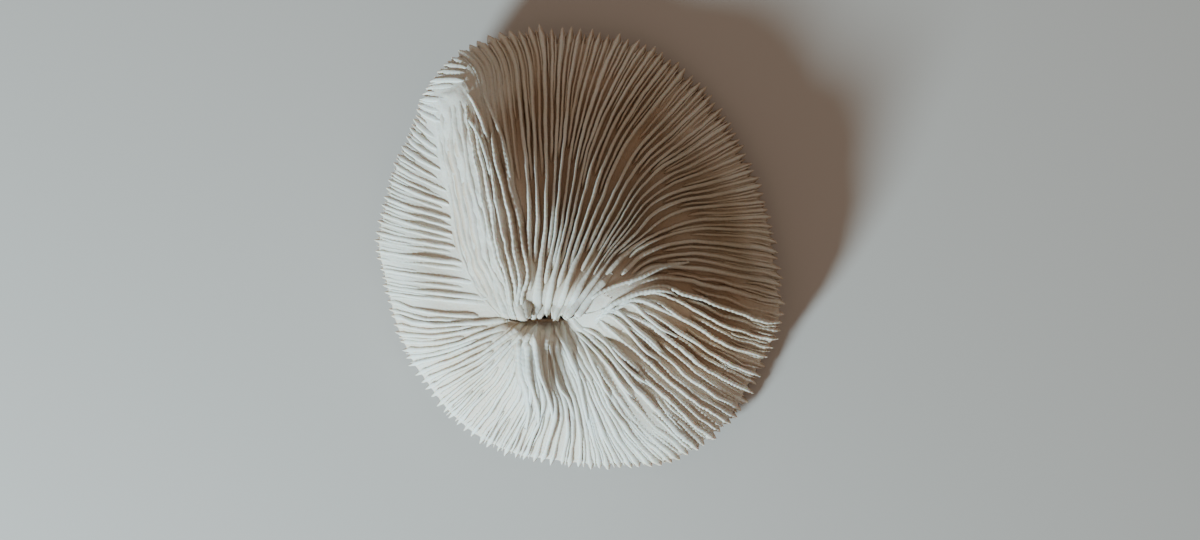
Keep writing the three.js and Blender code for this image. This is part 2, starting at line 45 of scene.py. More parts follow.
# ---------------------------------------------------------------- tables (mm)
# heights of the fin crests: x, y, z
RELIEF = np.array([
    [51.7, -0.5, 9], [50.9, 8.4, 8], [48.7, 17.1, 8], [44.9, 25.2, 8], [39.6, 32.4, 8],
    [33.8, 39.4, 8], [27.1, 45.8, 8], [20.2, 53.8, 8], [10.4, 56.4, 8.5], [0.4, 57.5, 9],
    [-10.1, 59.3, 10], [-20.4, 56.8, 12], [-32.9, 49, 18], [-36.9, 44, 18], [-40.7, 39.2, 16],
    [-47.1, 27, 10], [-50.3, 18, 8], [-52.6, 8.9, 7.5], [-54.2, -0.4, 7], [-51.8, -9.6, 6.5],
    [-50.4, -18.9, 6], [-46.4, -27.4, 6], [-42.1, -36.1, 6], [-36.5, -44.4, 6], [-28.8, -51, 6],
    [-19.8, -55.8, 6], [-9.7, -57.6, 6.5], [0.4, -58.3, 7], [10.6, -58.3, 7], [21.4, -58.1, 7.5],
    [31.7, -54.7, 8], [40, -47.6, 7.5], [44.1, -37.2, 7.5], [49.4, -28.7, 9], [53.5, -19.8, 13],
    [53.4, -9.9, 11.5], [-27.8, 48, 20.5], [-27.7, 41.5, 24], [-27.8, 34.8, 26], [-26.7, 26.9, 28.5],
    [-25.2, 19.2, 31], [-23.5, 11.5, 33.5], [-21.3, 3.5, 35.5], [-19.2, -3.9, 37], [-17.3, -10.3, 36],
    [-38, 34.6, 18], [-36.9, 25.4, 18.5], [-35, 17.5, 19.5], [-33.3, 10.2, 20.5], [-32.3, 1.9, 22],
    [-30, -5.3, 24.5], [-25.5, -11.4, 28], [-21.3, -15.4, 30], [-45.8, 21.9, 13.5],
    [-47.1, 12.7, 13.5], [-47.7, 2.1, 13.5], [-46.6, -8.5, 13.5], [-41.2, -3.8, 17.5],
    [-39.9, 7.2, 18], [-40.8, 17.7, 17], [-38.3, -13.6, 19.5], [-12.5, -9.5, 37.5], [-8.9, -5.8, 38],
    [-4, -7.1, 38], [2.1, -8.3, 37], [-13.8, 4, 36.5], [-16.5, 16.5, 33.5], [-19.4, 29.4, 28.5],
    [-21.2, 40.4, 22.5], [-20.4, 49.1, 17], [-18, -17.4, 30], [-13.3, -19.6, 25], [-8.3, -20.2, 24],
    [-3.1, -20.6, 25], [2, -20.5, 28], [-14.1, -15.3, 33], [-7.8, -14.3, 33.5], [-0.4, -16.3, 33.5],
    [-7.7, 6.4, 36.5], [0.9, 4, 36], [8.3, -0.9, 35], [15.7, -3.9, 34], [-4.2, 19.1, 31.5],
    [5.8, 19.2, 30.5], [15.8, 14.3, 29.5], [26.1, 6.8, 27], [-4.5, 35.4, 21.5], [5.8, 35.5, 21],
    [16.2, 33, 20], [26.6, 25.4, 19], [37.1, 15, 18], [42.3, -0.6, 18.5], [31.1, -2, 27],
    [5.8, -13.7, 36], [13.2, -11.5, 36.5], [19.3, -11, 36], [28.2, -13.3, 32], [37.6, -15.5, 26],
    [46, -17.2, 20], [10.8, -19.5, 32], [18.4, -20.9, 29.5], [28.8, -25, 24.5], [39.7, -28, 18],
    [8.3, -25.9, 30], [16, -31.3, 26], [26.7, -39.8, 18], [16.2, -45, 18], [23, -50.8, 13.5],
    [5.8, -33.7, 27], [8.4, -44.8, 19.5], [-13.8, -22.7, 29.6], [-11.7, -29.9, 30.6],
    [-11.3, -35, 29.2], [-7.4, -36.8, 27], [-0.5, -30.2, 27.2], [1.5, -36.5, 24.5],
    [-0.4, -42.2, 19.5], [-4.7, -46.3, 17.5], [-12.4, -44.9, 18.5], [-10, -22.4, 30.2],
    [-11.5, -25.9, 30.8], [-6.6, -23.5, 28.2], [-6.3, -27.3, 27.9], [-5.1, -31.7, 26.8],
    [-3.6, -37, 24.8], [-2.3, -26, 28.2], [-9, -31.9, 29.8], [-10.5, -39.5, 25.5],
    [-16.4, -26.5, 28.6], [-16.5, -32.7, 27], [-19.5, -26.1, 27], [-24.7, -21.1, 26.5],
    [-32.8, -21.3, 22.5], [-41.5, -21.6, 16], [-25.2, -31.6, 21.5], [-33.5, -32, 17],
    [-20.2, -39.7, 18.5], [-28.5, -40.1, 14.5], [-20.8, -48.4, 12],
])

# courses of the fins in plan: nine x, y pairs each, mouth to rim
COURSES = np.array([
    [6, -11.3, 11.3, -6.9, 16.1, -2.4, 22.1, 0.2, 28.4, 1.5, 34.9, 1.4, 41.5, 0.9, 48, 0.4, 54.3, -1.1],
    [5, -11, 10.4, -5.9, 15.1, -1, 21, 1.9, 27.3, 3.9, 33.9, 4.6, 40.5, 4.5, 47.1, 4.3, 53.6, 3.6],
    [3, -12.2, 7, -7.7, 11, -2.8, 16.9, 1.5, 23.6, 4.7, 30.6, 7, 38, 7.4, 45.3, 7.9, 52.8, 8.5],
    [1.9, -12.7, 5.8, -7.8, 9.8, -2.6, 15.7, 2.3, 21.7, 6.9, 28.6, 9.8, 36.1, 10.7, 43.7, 11.8, 51.3, 12.8],
    [1.1, -13.1, 5, -7.8, 9.2, -2.2, 14.7, 3.3, 20, 8.8, 26.9, 12, 34.6, 13.3, 42.2, 15.1, 49.8, 17.3],
    [0.4, -13.4, 4.3, -7.6, 8.4, -1.7, 13.5, 4.4, 18.5, 10.4, 25.3, 14.3, 33, 16.3, 40.6, 18.8, 48.2, 21.6],
    [-0.1, -13.7, 3.7, -7.7, 7.9, -1.4, 12.7, 4.9, 17.6, 11.3, 24.2, 15.8, 31.6, 18.9, 39, 22.2, 46.3, 25.9],
    [-0.7, -14, 3.1, -7.7, 7.2, -0.9, 11.8, 5.8, 16.5, 12.6, 22.8, 17.8, 30.1, 21.7, 37.3, 25.9, 44.4, 30.2],
    [-1.3, -14.3, 2.4, -7.6, 6.6, -0.4, 11.1, 6.8, 15.5, 14, 21.4, 20, 28.5, 24.7, 35.4, 29.7, 42.4, 34.6],
    [-1.9, -14.5, 1.7, -7.3, 5.8, 0.1, 10.2, 7.5, 14.4, 15, 19.9, 21.6, 26.6, 27, 33, 32.7, 39.5, 38.4],
    [-2.8, -14.6, 0.6, -7.1, 4.6, 0.7, 8.7, 8.4, 12.7, 16.3, 17.7, 23.5, 24, 29.7, 30.2, 36, 36.4, 42.2],
    [-3.5, -14.6, -0.2, -6.7, 3.6, 1.3, 7.4, 9.5, 11.1, 17.7, 15.5, 25.5, 21.4, 32.3, 27.2, 39.2, 33.2, 46],
    [-4.2, -14.6, -1.1, -6.4, 2.4, 2, 5.8, 10.5, 9.1, 19, 13.1, 27.2, 18.4, 34.6, 23.9, 42, 29.4, 49.3],
    [-5, -14.6, -2.2, -6.1, 0.8, 2.7, 3.8, 11.5, 6.6, 20.3, 10.2, 28.9, 14.8, 37, 19.9, 44.7, 25.4, 52.2],
    [-5.8, -14.6, -3.2, -5.9, -0.7, 3.1, 1.7, 12.2, 4, 21.3, 7.2, 30.2, 11.2, 38.7, 15.8, 46.9, 21, 54.7],
    [-6.5, -14.7, -4.2, -5.8, -1.9, 3.4, 0, 12.7, 1.8, 22, 4.4, 31.1, 7.8, 39.9, 11.7, 48.6, 16.3, 56.8],
    [-7.2, -14.7, -5.1, -5.6, -2.9, 3.6, -1.3, 12.9, 0.1, 22.3, 2.1, 31.5, 4.7, 40.6, 7.8, 49.5, 11.2, 58.3],
    [-7.9, -14.6, -5.9, -5.5, -3.9, 3.8, -2.7, 13.2, -1.8, 22.6, -0.4, 31.9, 1.3, 41.2, 3.6, 50.4, 6, 59.5],
    [-8.5, -14.6, -6.8, -5.4, -5.1, 4, -4.2, 13.4, -3.6, 22.8, -2.8, 32.2, -2.1, 41.6, -0.8, 51, 0.8, 60.3],
    [-9.2, -14.6, -7.8, -5.4, -6.3, 3.9, -5.7, 13.3, -5.5, 22.7, -5.4, 32.1, -5.3, 41.6, -5.1, 51, -4.6, 60.3],
    [-9.9, -14.6, -8.8, -5.3, -7.6, 4, -7.4, 13.3, -7.6, 22.7, -8, 32.2, -8.4, 41.6, -8.9, 51, -10.3, 60.3],
    [-10.7, -14.4, -10.1, -5.1, -9.5, 4.1, -9.6, 13.3, -10.2, 22.6, -11, 31.9, -11.9, 41.3, -13, 50.7, -16, 59.6],
    [-11.5, -14.1, -11.6, -5, -11.7, 4.1, -12.2, 13.1, -13.2, 22.2, -14.5, 31.2, -15.7, 40.3, -17.3, 49.6, -21.3, 57.9],
    [-12.3, -13.7, -13.2, -4.9, -14.2, 3.9, -15.2, 12.7, -16.5, 21.4, -18.2, 30.2, -19.8, 39, -21.5, 48, -26.5, 55.4],
    [-13.3, -13.5, -14.9, -4.9, -16.3, 3.4, -17.7, 11.9, -19.4, 20.3, -21.4, 28.7, -23.4, 37.4, -25.5, 46.1, -31.2, 52.2],
    [-14.3, -13.3, -16.5, -5.3, -18.4, 2.8, -20.1, 10.9, -22, 19.1, -24, 27.2, -26.1, 35.6, -28.6, 44.1, -35.4, 48],
    [-15.6, -13.2, -18.4, -5.7, -20.9, 1.8, -23, 9.4, -25.2, 17.1, -27.2, 25, -29.2, 33.2, -31.8, 41.2, -38.9, 44.1],
    [-16.8, -13.2, -20.3, -6.3, -23.5, 0.6, -26.1, 7.6, -28.8, 14.5, -31.4, 21.5, -34.1, 28.7, -36.3, 36.1, -41.9, 39.7],
    [-17.9, -13.2, -22, -7, -25.6, -0.7, -28.5, 5.7, -31.2, 11.9, -33.8, 18.2, -36.3, 24.7, -39.3, 30.9, -42.9, 36.8],
    [-18.8, -13.3, -23.2, -7.5, -27, -1.9, -29.8, 3.9, -31.8, 9.4, -34.3, 15.2, -37.2, 21.2, -41, 27.1, -45.2, 32.2],
    [-19.5, -13.4, -24.1, -8.1, -27.9, -3.1, -30.3, 2.1, -32.1, 7.2, -35, 12.6, -38.7, 18.3, -42.8, 23.4, -47.6, 27.7],
    [-20.1, -13.5, -24.6, -8.9, -28.1, -4.4, -30.6, 0.3, -32.9, 5.2, -36.2, 10.2, -40.3, 15.1, -44.9, 19.9, -50.2, 23.2],
    [-20.6, -13.9, -24.3, -9.9, -27.9, -5.8, -30.9, -1.6, -33.8, 3, -37.6, 7.6, -41.9, 11.7, -46.6, 15.9, -52, 18.7],
    [-20.6, -14.5, -24, -10.8, -27.7, -7.2, -31.2, -3.5, -34.9, 0.5, -39.2, 4.2, -43.7, 7.7, -48.1, 11.5, -53, 14.3],
    [-20.6, -15.1, -24, -11.8, -27.7, -8.6, -31.5, -5.3, -35.6, -2, -40.2, 0.9, -44.9, 3.9, -49.5, 7.3, -54.4, 9.7],
    [-20.4, -15.7, -24, -12.7, -27.7, -10, -31.7, -7.2, -36.1, -4.6, -40.8, -2.3, -45.6, 0.3, -50.4, 3.1, -55.5, 4.6],
    [-20.2, -16.3, -24, -13.8, -27.8, -11.5, -31.9, -9.3, -36.2, -7.5, -40.7, -5.7, -45.5, -3.7, -50.7, -1.4, -55.7, -0.2],
    [-19.8, -16.8, -23.9, -14.9, -27.9, -13.2, -32, -11.7, -36.2, -10.4, -40.5, -8.9, -45, -7.2, -49.8, -5.6, -54.6, -5.4],
    [-19.3, -17.4, -23.7, -16.3, -27.8, -15.1, -32, -14.3, -36.2, -13.5, -40.4, -12.4, -44.6, -11.3, -49, -10, -53.5, -10],
    [-18.6, -17.9, -23.1, -17.7, -27.5, -17.3, -31.7, -17.2, -35.9, -16.9, -40, -16.4, -44.1, -15.7, -48.3, -14.5, -52.4, -14.1],
    [-17.7, -18.3, -22.2, -19, -26.5, -19.4, -30.8, -19.9, -35, -20.2, -39.2, -20.2, -43.3, -19.8, -47.5, -19, -51.5, -18.6],
    [-16.8, -18.7, -21.2, -19.9, -25.4, -20.9, -29.5, -21.9, -33.6, -22.7, -37.7, -23.2, -41.9, -23.4, -46.2, -23.2, -50.1, -23.1],
    [-15.6, -19, -19.7, -20.7, -23.8, -22.1, -27.7, -23.5, -31.7, -24.8, -35.8, -25.8, -40, -26.7, -44.3, -27.2, -48.6, -27.8],
    [-14.3, -19.1, -18.1, -21.3, -22, -23.2, -26, -24.9, -29.9, -26.6, -33.9, -28.3, -38.1, -29.7, -42.3, -31, -46.4, -32.5],
    [-13.1, -19.2, -16.6, -21.8, -20.3, -24.3, -23.9, -26.7, -27.7, -28.9, -31.6, -30.8, -35.7, -32.5, -39.6, -34.5, -43.4, -36.7],
    [-12.1, -19.2, -15.3, -22.3, -18.6, -25.4, -21.9, -28.4, -25.4, -31.1, -29.2, -33.5, -33, -35.8, -36.8, -38.3, -40.5, -40.8],
    [-11.4, -19.2, -14.5, -22.6, -17.7, -25.9, -20.6, -29.4, -23.7, -32.8, -27.2, -35.7, -30.6, -38.7, -33.9, -41.8, -37.3, -45],
    [-10.7, -19.3, -13.6, -23.2, -16.1, -27, -18.4, -31, -21.1, -34.8, -24.2, -38.2, -27.3, -41.6, -30.4, -45.1, -33.6, -48.4],
    [-10.1, -19.3, -12.7, -23.6, -14.7, -27.9, -16.2, -32.3, -18.4, -36.5, -21.1, -40.3, -23.8, -44.2, -26.7, -48, -29.5, -51.8],
    [-9.6, -19.2, -11.9, -23.8, -13.4, -28.5, -13.9, -33.2, -14.9, -37.9, -17.3, -42.1, -19.9, -46.1, -22.5, -50.2, -25, -54.3],
    [-9, -19.2, -11.1, -24, -11.9, -28.9, -11.7, -33.8, -11.9, -38.7, -13.6, -43.3, -15.9, -47.7, -18.1, -52.1, -20.2, -56.6],
    [-8.2, -19.2, -9.6, -24.3, -10, -29.3, -9.4, -34.3, -8.7, -39.2, -9.7, -44.1, -11.5, -48.9, -13.5, -53.5, -15.4, -58.2],
    [-7.1, -19.2, -7.9, -24.3, -8, -29.4, -7.3, -34.4, -5.9, -39.2, -6, -44.2, -7.2, -49.1, -8.7, -53.9, -10.2, -58.8],
    [-6.2, -19.2, -6.5, -24.3, -6.3, -29.4, -5.5, -34.4, -3.6, -39.2, -2.8, -44.2, -3.1, -49.3, -4, -54.4, -5, -59.4],
    [-5.3, -19.2, -5.3, -24.4, -4.2, -29.3, -2.6, -34.3, -0.9, -39.3, 0.1, -44.4, 0.6, -49.6, 0.6, -54.8, 0.3, -60],
    [-4.5, -19, -4.2, -24.3, -2.1, -29, 0.1, -34, 1.3, -39.2, 2.6, -44.4, 3.8, -49.7, 4.9, -54.9, 5.8, -60.2],
    [-3.8, -18.7, -3.2, -24.3, -0.7, -29.1, 1.7, -34.1, 3.3, -39.4, 5.2, -44.6, 7.2, -49.8, 9.3, -54.9, 11.5, -60.1],
    [-3.2, -18.5, -1.9, -24, 0.8, -29.1, 3.5, -34.2, 5.6, -39.6, 8.2, -44.7, 10.8, -49.8, 14, -54.5, 16.9, -59.5],
    [-2.6, -18.3, -0.6, -23.7, 2.4, -29.1, 5.4, -34.4, 8.1, -39.8, 11.3, -45, 14.6, -49.9, 18.6, -54.4, 22.7, -58.8],
    [-1.9, -18.1, 0.7, -23.1, 4.2, -28.3, 7.5, -33.6, 11, -38.9, 14.6, -44.1, 18.7, -48.9, 23.4, -53.1, 27.9, -57.4],
    [-1.1, -17.7, 2.1, -21.6, 6.5, -25.9, 10.6, -30.8, 14.9, -35.8, 19.1, -40.8, 23.5, -45.6, 28.1, -50.3, 32.5, -55.1],
    [0.3, -17, 3.7, -20.1, 8.2, -24.1, 12.9, -28.7, 17.5, -33.6, 22.3, -38.3, 27, -43, 31.8, -47.7, 37.2, -51.7],
    [2.7, -16.6, 7.4, -19.9, 12.3, -24.1, 16.8, -28.4, 21.5, -32.7, 26.1, -36.9, 31, -40.9, 36, -44.7, 41.3, -48.1],
    [5.1, -16, 11.2, -19.1, 16.8, -22.9, 21.4, -26.6, 25.8, -30.6, 30.2, -34.5, 35, -37.9, 40, -41.1, 44.9, -44.3],
    [6.2, -15.4, 12.6, -17, 18.4, -19.8, 23.2, -23.4, 28, -26.9, 32.7, -30.5, 37.6, -33.9, 42.7, -36.8, 47.8, -39.8],
    [6.9, -15.1, 13.3, -15.1, 19.4, -16.8, 24.4, -20, 29.3, -23.4, 34.2, -26.7, 39.3, -29.7, 44.6, -32.3, 50.1, -34.7],
    [7.5, -14.5, 13.8, -13.6, 20, -14, 25.2, -16.9, 30.2, -20.2, 35.3, -23.1, 40.7, -25.8, 46.2, -27.9, 52, -29.7],
    [8, -14, 14.1, -12.5, 20.3, -11.6, 25.8, -13.7, 31, -16.6, 36.4, -19.2, 42, -21.5, 47.7, -23.4, 53.6, -24.7],
    [8.4, -13.4, 14.2, -11.4, 20.3, -9.9, 26, -11.5, 31.7, -13.5, 37.4, -15.4, 43.2, -17.4, 49, -19, 55.1, -19.9],
    [8.4, -12.7, 14, -10.2, 19.8, -7.7, 25.8, -8.1, 31.8, -9.4, 37.8, -10.8, 43.7, -12.2, 49.6, -13.7, 55.5, -15.4],
    [7.5, -12.3, 12.5, -9.5, 17.5, -6.1, 23.7, -5, 30.1, -5.5, 36.5, -6.5, 42.8, -7.8, 49.1, -8.9, 55.3, -10.5],
    [6.7, -11.8, 11.8, -8.4, 16.6, -4.5, 22.7, -2.3, 29.1, -1.8, 35.6, -2.4, 42, -3.4, 48.5, -4.3, 54.9, -5.6],
]).reshape(72, 9, 2)

NQ = 72

# ---------------------------------------------------------------- relief
UNIT = 30.0


def _fit():
    xy, z = RELIEF[:, :2] / UNIT, RELIEF[:, 2]
    n = len(z)
    r2 = ((xy[:, None] - xy[None]) ** 2).sum(-1)
    k = 0.5 * r2 * np.log(r2 + 1e-12)
    m = np.zeros((n + 3, n + 3))
    m[:n, :n] = k + 0.002 * np.eye(n)
    m[:n, n] = m[n, :n] = 1
    m[:n, n + 1:] = xy
    m[n + 1:, :n] = xy.T
    return np.linalg.solve(m, np.concatenate([z, [0, 0, 0]]))


_W = _fit()


def crest(x, y):
    """Height of the fin crests (mm)."""
    x, y = np.asarray(x, float), np.asarray(y, float)
    shape = x.shape
    p = np.stack([x.ravel(), y.ravel()], 1) / UNIT
    out = np.empty(len(p))
    c = RELIEF[:, :2] / UNIT
    for i in range(0, len(p), 20000):
        q = p[i:i + 20000]
        r2 = ((q[:, None] - c[None]) ** 2).sum(-1)
        out[i:i + 20000] = (0.5 * r2 * np.log(r2 + 1e-12)) @ _W[:-3] + _W[-3] + q @ _W[-2:]
    # the slope just below the mouth stays high up to the slit
    up = (y + 20.9) / np.where(y > -20.9, 1.4, 3.0)
    return out.reshape(shape) + 3.8 * np.exp(-((x + 9.5) / 6.0) ** 2 - up ** 2)


# ---------------------------------------------------------------- courses
def _cr(p0, p1, p2, p3, f):
    return 0.5 * (2 * p1 + (p2 - p0) * f + (2 * p0 - 5 * p1 + 4 * p2 - p3) * f * f
                  + (3 * p1 - p0 - 3 * p2 + p3) * f ** 3)


NT = 257
_T = np.linspace(0, 1, NT)


def _dense():
    c = COURSES
    ext = np.concatenate([2 * c[:, :1] - c[:, 1:2], c, 2 * c[:, -1:] - c[:, -2:-1]], 1)
    s = _T * 8
    i = np.minimum(np.floor(s).astype(int), 7)
    f = (s - i)[None, :, None]
    return _cr(ext[:, i], ext[:, i + 1], ext[:, i + 2], ext[:, i + 3], f)


DENSE = _dense()  # 72 x NT x 2


def plan(q, t):
    """x, y (mm) of course q (0..72 round the mouth) at t (0 mouth, 1 rim tip)."""
    q, t = np.broadcast_arrays(np.asarray(q, float), np.asarray(t, float))
    k = np.floor(q).astype(int)
    f = (q - k)[..., None]
    s = np.clip(t, 0, 1) * (NT - 1)
    j = np.minimum(s.astype(int), NT - 2)
    g = (s - j)[..., None]

    def row(d):
        kk = (k + d) % NQ
        return DENSE[kk, j] * (1 - g) + DENSE[kk, j + 1] * g

    p = _cr(row(-1), row(0), row(1), row(2), f)
    over = (t - np.clip(t, 0, 1))[..., None] * 52.0
    if np.any(over != 0):
        a = _cr(DENSE[(k - 1) % NQ, -1], DENSE[k % NQ, -1], DENSE[(k + 1) % NQ, -1], DENSE[(k + 2) % NQ, -1], f)
        b = _cr(DENSE[(k - 1) % NQ, -9], DENSE[k % NQ, -9], DENSE[(k + 1) % NQ, -9], DENSE[(k + 2) % NQ, -9], f)
        d = (a - b) / np.maximum(np.linalg.norm(a - b, axis=-1, keepdims=True), 1e-9)
        p = p + d * np.maximum(over, 0)
    return p[..., 0], p[..., 1]


def sm(a, b, x):
    s = np.clip((np.asarray(x, float) - a) / (b - a), 0, 1)
    return s * s * (3 - 2 * s)


def noise1(s, wave, rng):
    """Smooth 1-D noise, about -1..1, along length s (mm)."""
    n = int(max(s.max() - s.min(), 0) / wave) + 6
    v = rng.uniform(-1, 1, n)
    u = (s - s.min()) / wave + rng.uniform(0, 1) + 1
    i = np.clip(u.astype(int), 1, n - 3)
    f = np.clip(u - i, 0, 1)
    return _cr(v[i - 1], v[i], v[i + 1], v[i + 2], f)


# how deep the gaps between the fins are: x, y, depth (mm)
GAPS = np.array([
    [5.8, 32.7, 3.0], [-4.7, 43.9, 2.6], [16.0, 24.8, 2.6], [26.2, 12.0, 2.2], [5.8, 11.5, 2.6],
    [-4.1, 11.4, 2.9], [15.8, 4.1, 2.6], [31.2, 1.8, 2.0], [42.3, -0.6, 1.6], [-8.9, 1.5, 2.9],
    [-0.3, -0.9, 2.8], [10.7, -2.1, 2.6], [-13.8, -9.5, 0.9], [-7.7, -9.5, 1.0], [-0.3, -9.5, 1.0],
    [-14.1, -15.3, 0.6], [-8.0, -15.9, 0.6], [-0.4, -15.7, 0.6], [5.8, -14.5, 0.6],
    [-16.9, -21.0, 1.6], [-13.2, -21.0, 1.4], [5.8, -10.7, 0.7], [13.2, -10.8, 0.9],
    [-18.9, -10.8, 0.5], [-13.7, -4.6, 1.6], [-6.4, -4.6, 2.2], [3.3, -4.6, 2.2], [25.6, -9.6, 2.6],
    [36.2, -13.4, 3.0], [31.3, -23.7, 2.8], [21.0, -24.9, 2.6], [42.2, -24.0, 2.6],
    [15.8, -19.6, 1.6], [8.3, -20.8, 1.0], [47.6, -11.1, 1.7], [48.1, -24.3, 1.8],
    [16.0, -33.9, 1.6], [26.7, -39.8, 1.3], [32.2, -42.8, 1.5], [21.3, -37.6, 1.4],
    [5.8, -39.2, 1.0], [11.0, -42.0, 0.9], [16.3, -47.8, 0.6], [20.2, -45.1, 0.6],
    [24.4, -52.4, 0.5], [8.4, -50.8, 0.8], [13.2, -52.3, 0.6], [10.8, -28.5, 1.5],
    [-11.7, -25.9, 0.3], [-8.8, -32.2, 0.4], [-13.9, -33.6, 0.3], [-1.8, -33.8, 0.6],
    [-4.3, -26.1, 0.5], [-8.1, -37.5, 0.5], [3.3, -28.5, 0.9], [-17.5, -29.1, 1.1],
    [-19.5, -26.1, 1.6], [-27.4, -23.7, 1.5], [-35.6, -21.4, 1.4], [-41.2, -13.2, 0.9],
    [-43.4, -24.5, 1.5], [-37.3, -40.9, 1.9], [-34.9, -46.5, 2.1], [-25.7, -40.0, 2.4],
    [-27.8, -48.9, 2.4], [-15.1, -45.1, 2.5], [-4.7, -47.8, 2.0], [-33.6, -33.4, 1.9],
    [-21.0, -51.4, 2.7], [-21.2, -34.7, 2.6], [-22.9, -30.2, 2.4], [-25.4, -26.3, 2.0],
    [-18.7, -38.1, 2.4], [-47.7, 2.1, 0.5], [-47.8, 12.7, 0.5], [-36.3, 7.2, 1.3],
    [-34.6, 0.6, 1.4], [-38.6, 15.0, 0.9], [-44.6, 26.0, 0.5], [-35.6, -5.3, 0.9],
    [-47.3, -8.5, 0.5], [-38.6, 21.6, 0.7], [-32.7, 30.1, 0.5], [-31.3, 19.7, 0.4],
    [-28.4, 9.4, 0.4], [-25.5, -0.8, 0.4], [-27.0, 24.4, 0.6], [-22.7, 9.0, 0.6],
    [-20.8, -0.9, 0.6], [-35.7, 40.8, 0.5], [-40.1, 36.1, 0.5], [-34.5, 46.2, 0.6],
    [-30.8, 51.1, 0.7], [-21.9, 29.4, 1.8], [-17.0, 16.5, 2.3], [-14.6, 5.2, 2.4],
    [-24.4, 40.2, 0.6], [-23.2, 45.9, 0.7], [-20.3, 47.6, 1.5], [-12.1, 32.4, 3.0],
    [0.5, 54.3, 2.4], [-10.1, 52.5, 2.0], [32.1, 25.7, 1.9], [42.8, 12.6, 1.7],
])


def gap_depth(x, y, t):
    """Depth (mm) of the gaps below the crest surface."""
    x, y, t = np.broadcast_arrays(np.asarray(x, float), np.asarray(y, float), np.asarray(t, float))
    p = np.stack([x.ravel(), y.ravel()], 1)
    out = np.empty(len(p))
    for i in range(0, len(p), 20000):
        q = p[i:i + 20000]
        r2 = ((q[:, None] - GAPS[None, :, :2]) ** 2).sum(-1)
        w = np.exp(-r2 / (2 * 4.2 ** 2)) + 1e-5 / (r2 + 9)
        out[i:i + 20000] = (w @ GAPS[:, 2]) / w.sum(1)
    d = out.reshape(x.shape)
    rim = 1.7 - 0.9 * sm(-44, -49, x) * sm(-22, -12, y) - 0.7 * sm(-40, -47, y) * sm(-2, 6, x) \
        - 0.2 * sm(-18, -26, y) * sm(-12, -22, x)
    rim = np.maximum(rim - 1.0 * sm(-23, -30, x) * sm(30, 38, y), 0.55)
    return d + (rim - d) * sm(0.82, 1.0, t)


# how far the teeth stand out beyond the plate (mm), every 10 degrees of course
TOOTH = np.array([2.4, 2.0, 2.3, 3.0, 3.4, 3.8, 3.4, 2.9, 2.8, 3.7, 3.8, 2.2, 1.8, 2.0, 2.4, 2.0, 2.0, 2.3,
                  2.5, 2.5, 2.8, 3.2, 3.4, 3.4, 3.0, 2.8, 2.6, 2.4, 2.5, 2.3, 2.2, 2.3, 3.4, 2.4, 2.1, 2.8])


def tooth_len(q):
    a = (np.asarray(q, float) % NQ) / 2.0
    i = np.floor(a).astype(int) % 36
    f = a - np.floor(a)
    return TOOTH[i] * (1 - f) + TOOTH[(i + 1) % 36] * f


# the steep bright flank: its foot and its crest, x, y from the far rim to the mouth
FOOT = np.array([
    [-36.2, 39.3], [-36.8, 33.2], [-36.3, 25.4], [-34.7, 17.5], [-33.0, 10.2], [-31.4, 1.9],
    [-28.8, -5.3], [-25.0, -11.4], [-21.3, -15.4], [-19.1, -17.6],
])
CREST = np.array([
    [-28.0, 41.8], [-27.2, 34.8], [-25.9, 26.9], [-24.1, 19.1], [-22.4, 11.5], [-20.5, 3.5],
    [-18.7, -3.9], [-17.0, -9.5], [-16.3, -14.3], [-15.2, -18.2],
])


def inside(poly, x, y):
    """Which points lie in the polygon."""
    r = np.zeros(np.shape(x), bool)
    n = len(poly)
    for i in range(n):
        (ax, ay), (bx, by) = poly[i], poly[(i + 1) % n]
        if ay == by:
            continue
        hit = ((ay > y) != (by > y)) & (x < (bx - ax) * (y - ay) / (by - ay) + ax)
        r ^= hit
    return r


FLANK = np.concatenate([FOOT, CREST[::-1]])

# fins left of the flank: rim x, y and foot x, y
LEFT = np.array([
    [-33.1, 54.4, -28.2, 51.7],
    [-35.8, 51.7, -28.5, 49.5],
    [-38.2, 48.4, -28.5, 46.8],
    [-40.9, 44.9, -28.6, 43.7],
    [-43.1, 40.6, -31.4, 40.4],
    [-45.2, 35.7, -36.6, 30.0],
    [-46.9, 32.0, -36.6, 25.4],
    [-48.8, 27.1, -35.5, 19.6],
    [-50.4, 22.5, -33.5, 13.6],
    [-51.5, 16.3, -33.0, 9.4],
    [-52.5, 11.7, -32.6, 5.0],
    [-53.9, 7.1, -32.0, 1.4],
    [-55.0, 2.3, -30.8, -1.7],
    [-54.4, -1.8, -28.8, -5.1],
    [-53.6, -5.3, -26.6, -8.6],
    [-52.5, -9.9, -22.2, -12.9],
    [-51.7, -13.9, -20.8, -15.6],
])

# scalloped edge of the upper side of the mouth: x, y
LIP = np.array([
    [-24.3, -17.2], [-21.8, -17.7], [-19.6, -16.9], [-18.1, -16.7], [-16.6, -15.2], [-16.2,
    -16.7], [-15.7, -17.7], [-14.4, -18.4], [-12.5, -18.2], [-11.5, -16.9], [-10.9, -15.2],
    [-10.2, -17.2], [-9.5, -17.9], [-8.8, -17.7], [-7.9, -16.5], [-7.5, -17.4], [-7.0, -16.7],
    [-6.7, -14.0], [-6.3, -17.2], [-5.8, -18.4], [-4.8, -17.9], [-3.8, -16.9], [-3.1, -17.7],
    [-1.6, -18.7], [0.1, -18.7], [1.4, -17.9], [2.1, -16.9], [3.3, -17.2], [4.8, -16.7], [6.5,
    -15.5], [8.3, -14.0], [9.2, -13.2],
])

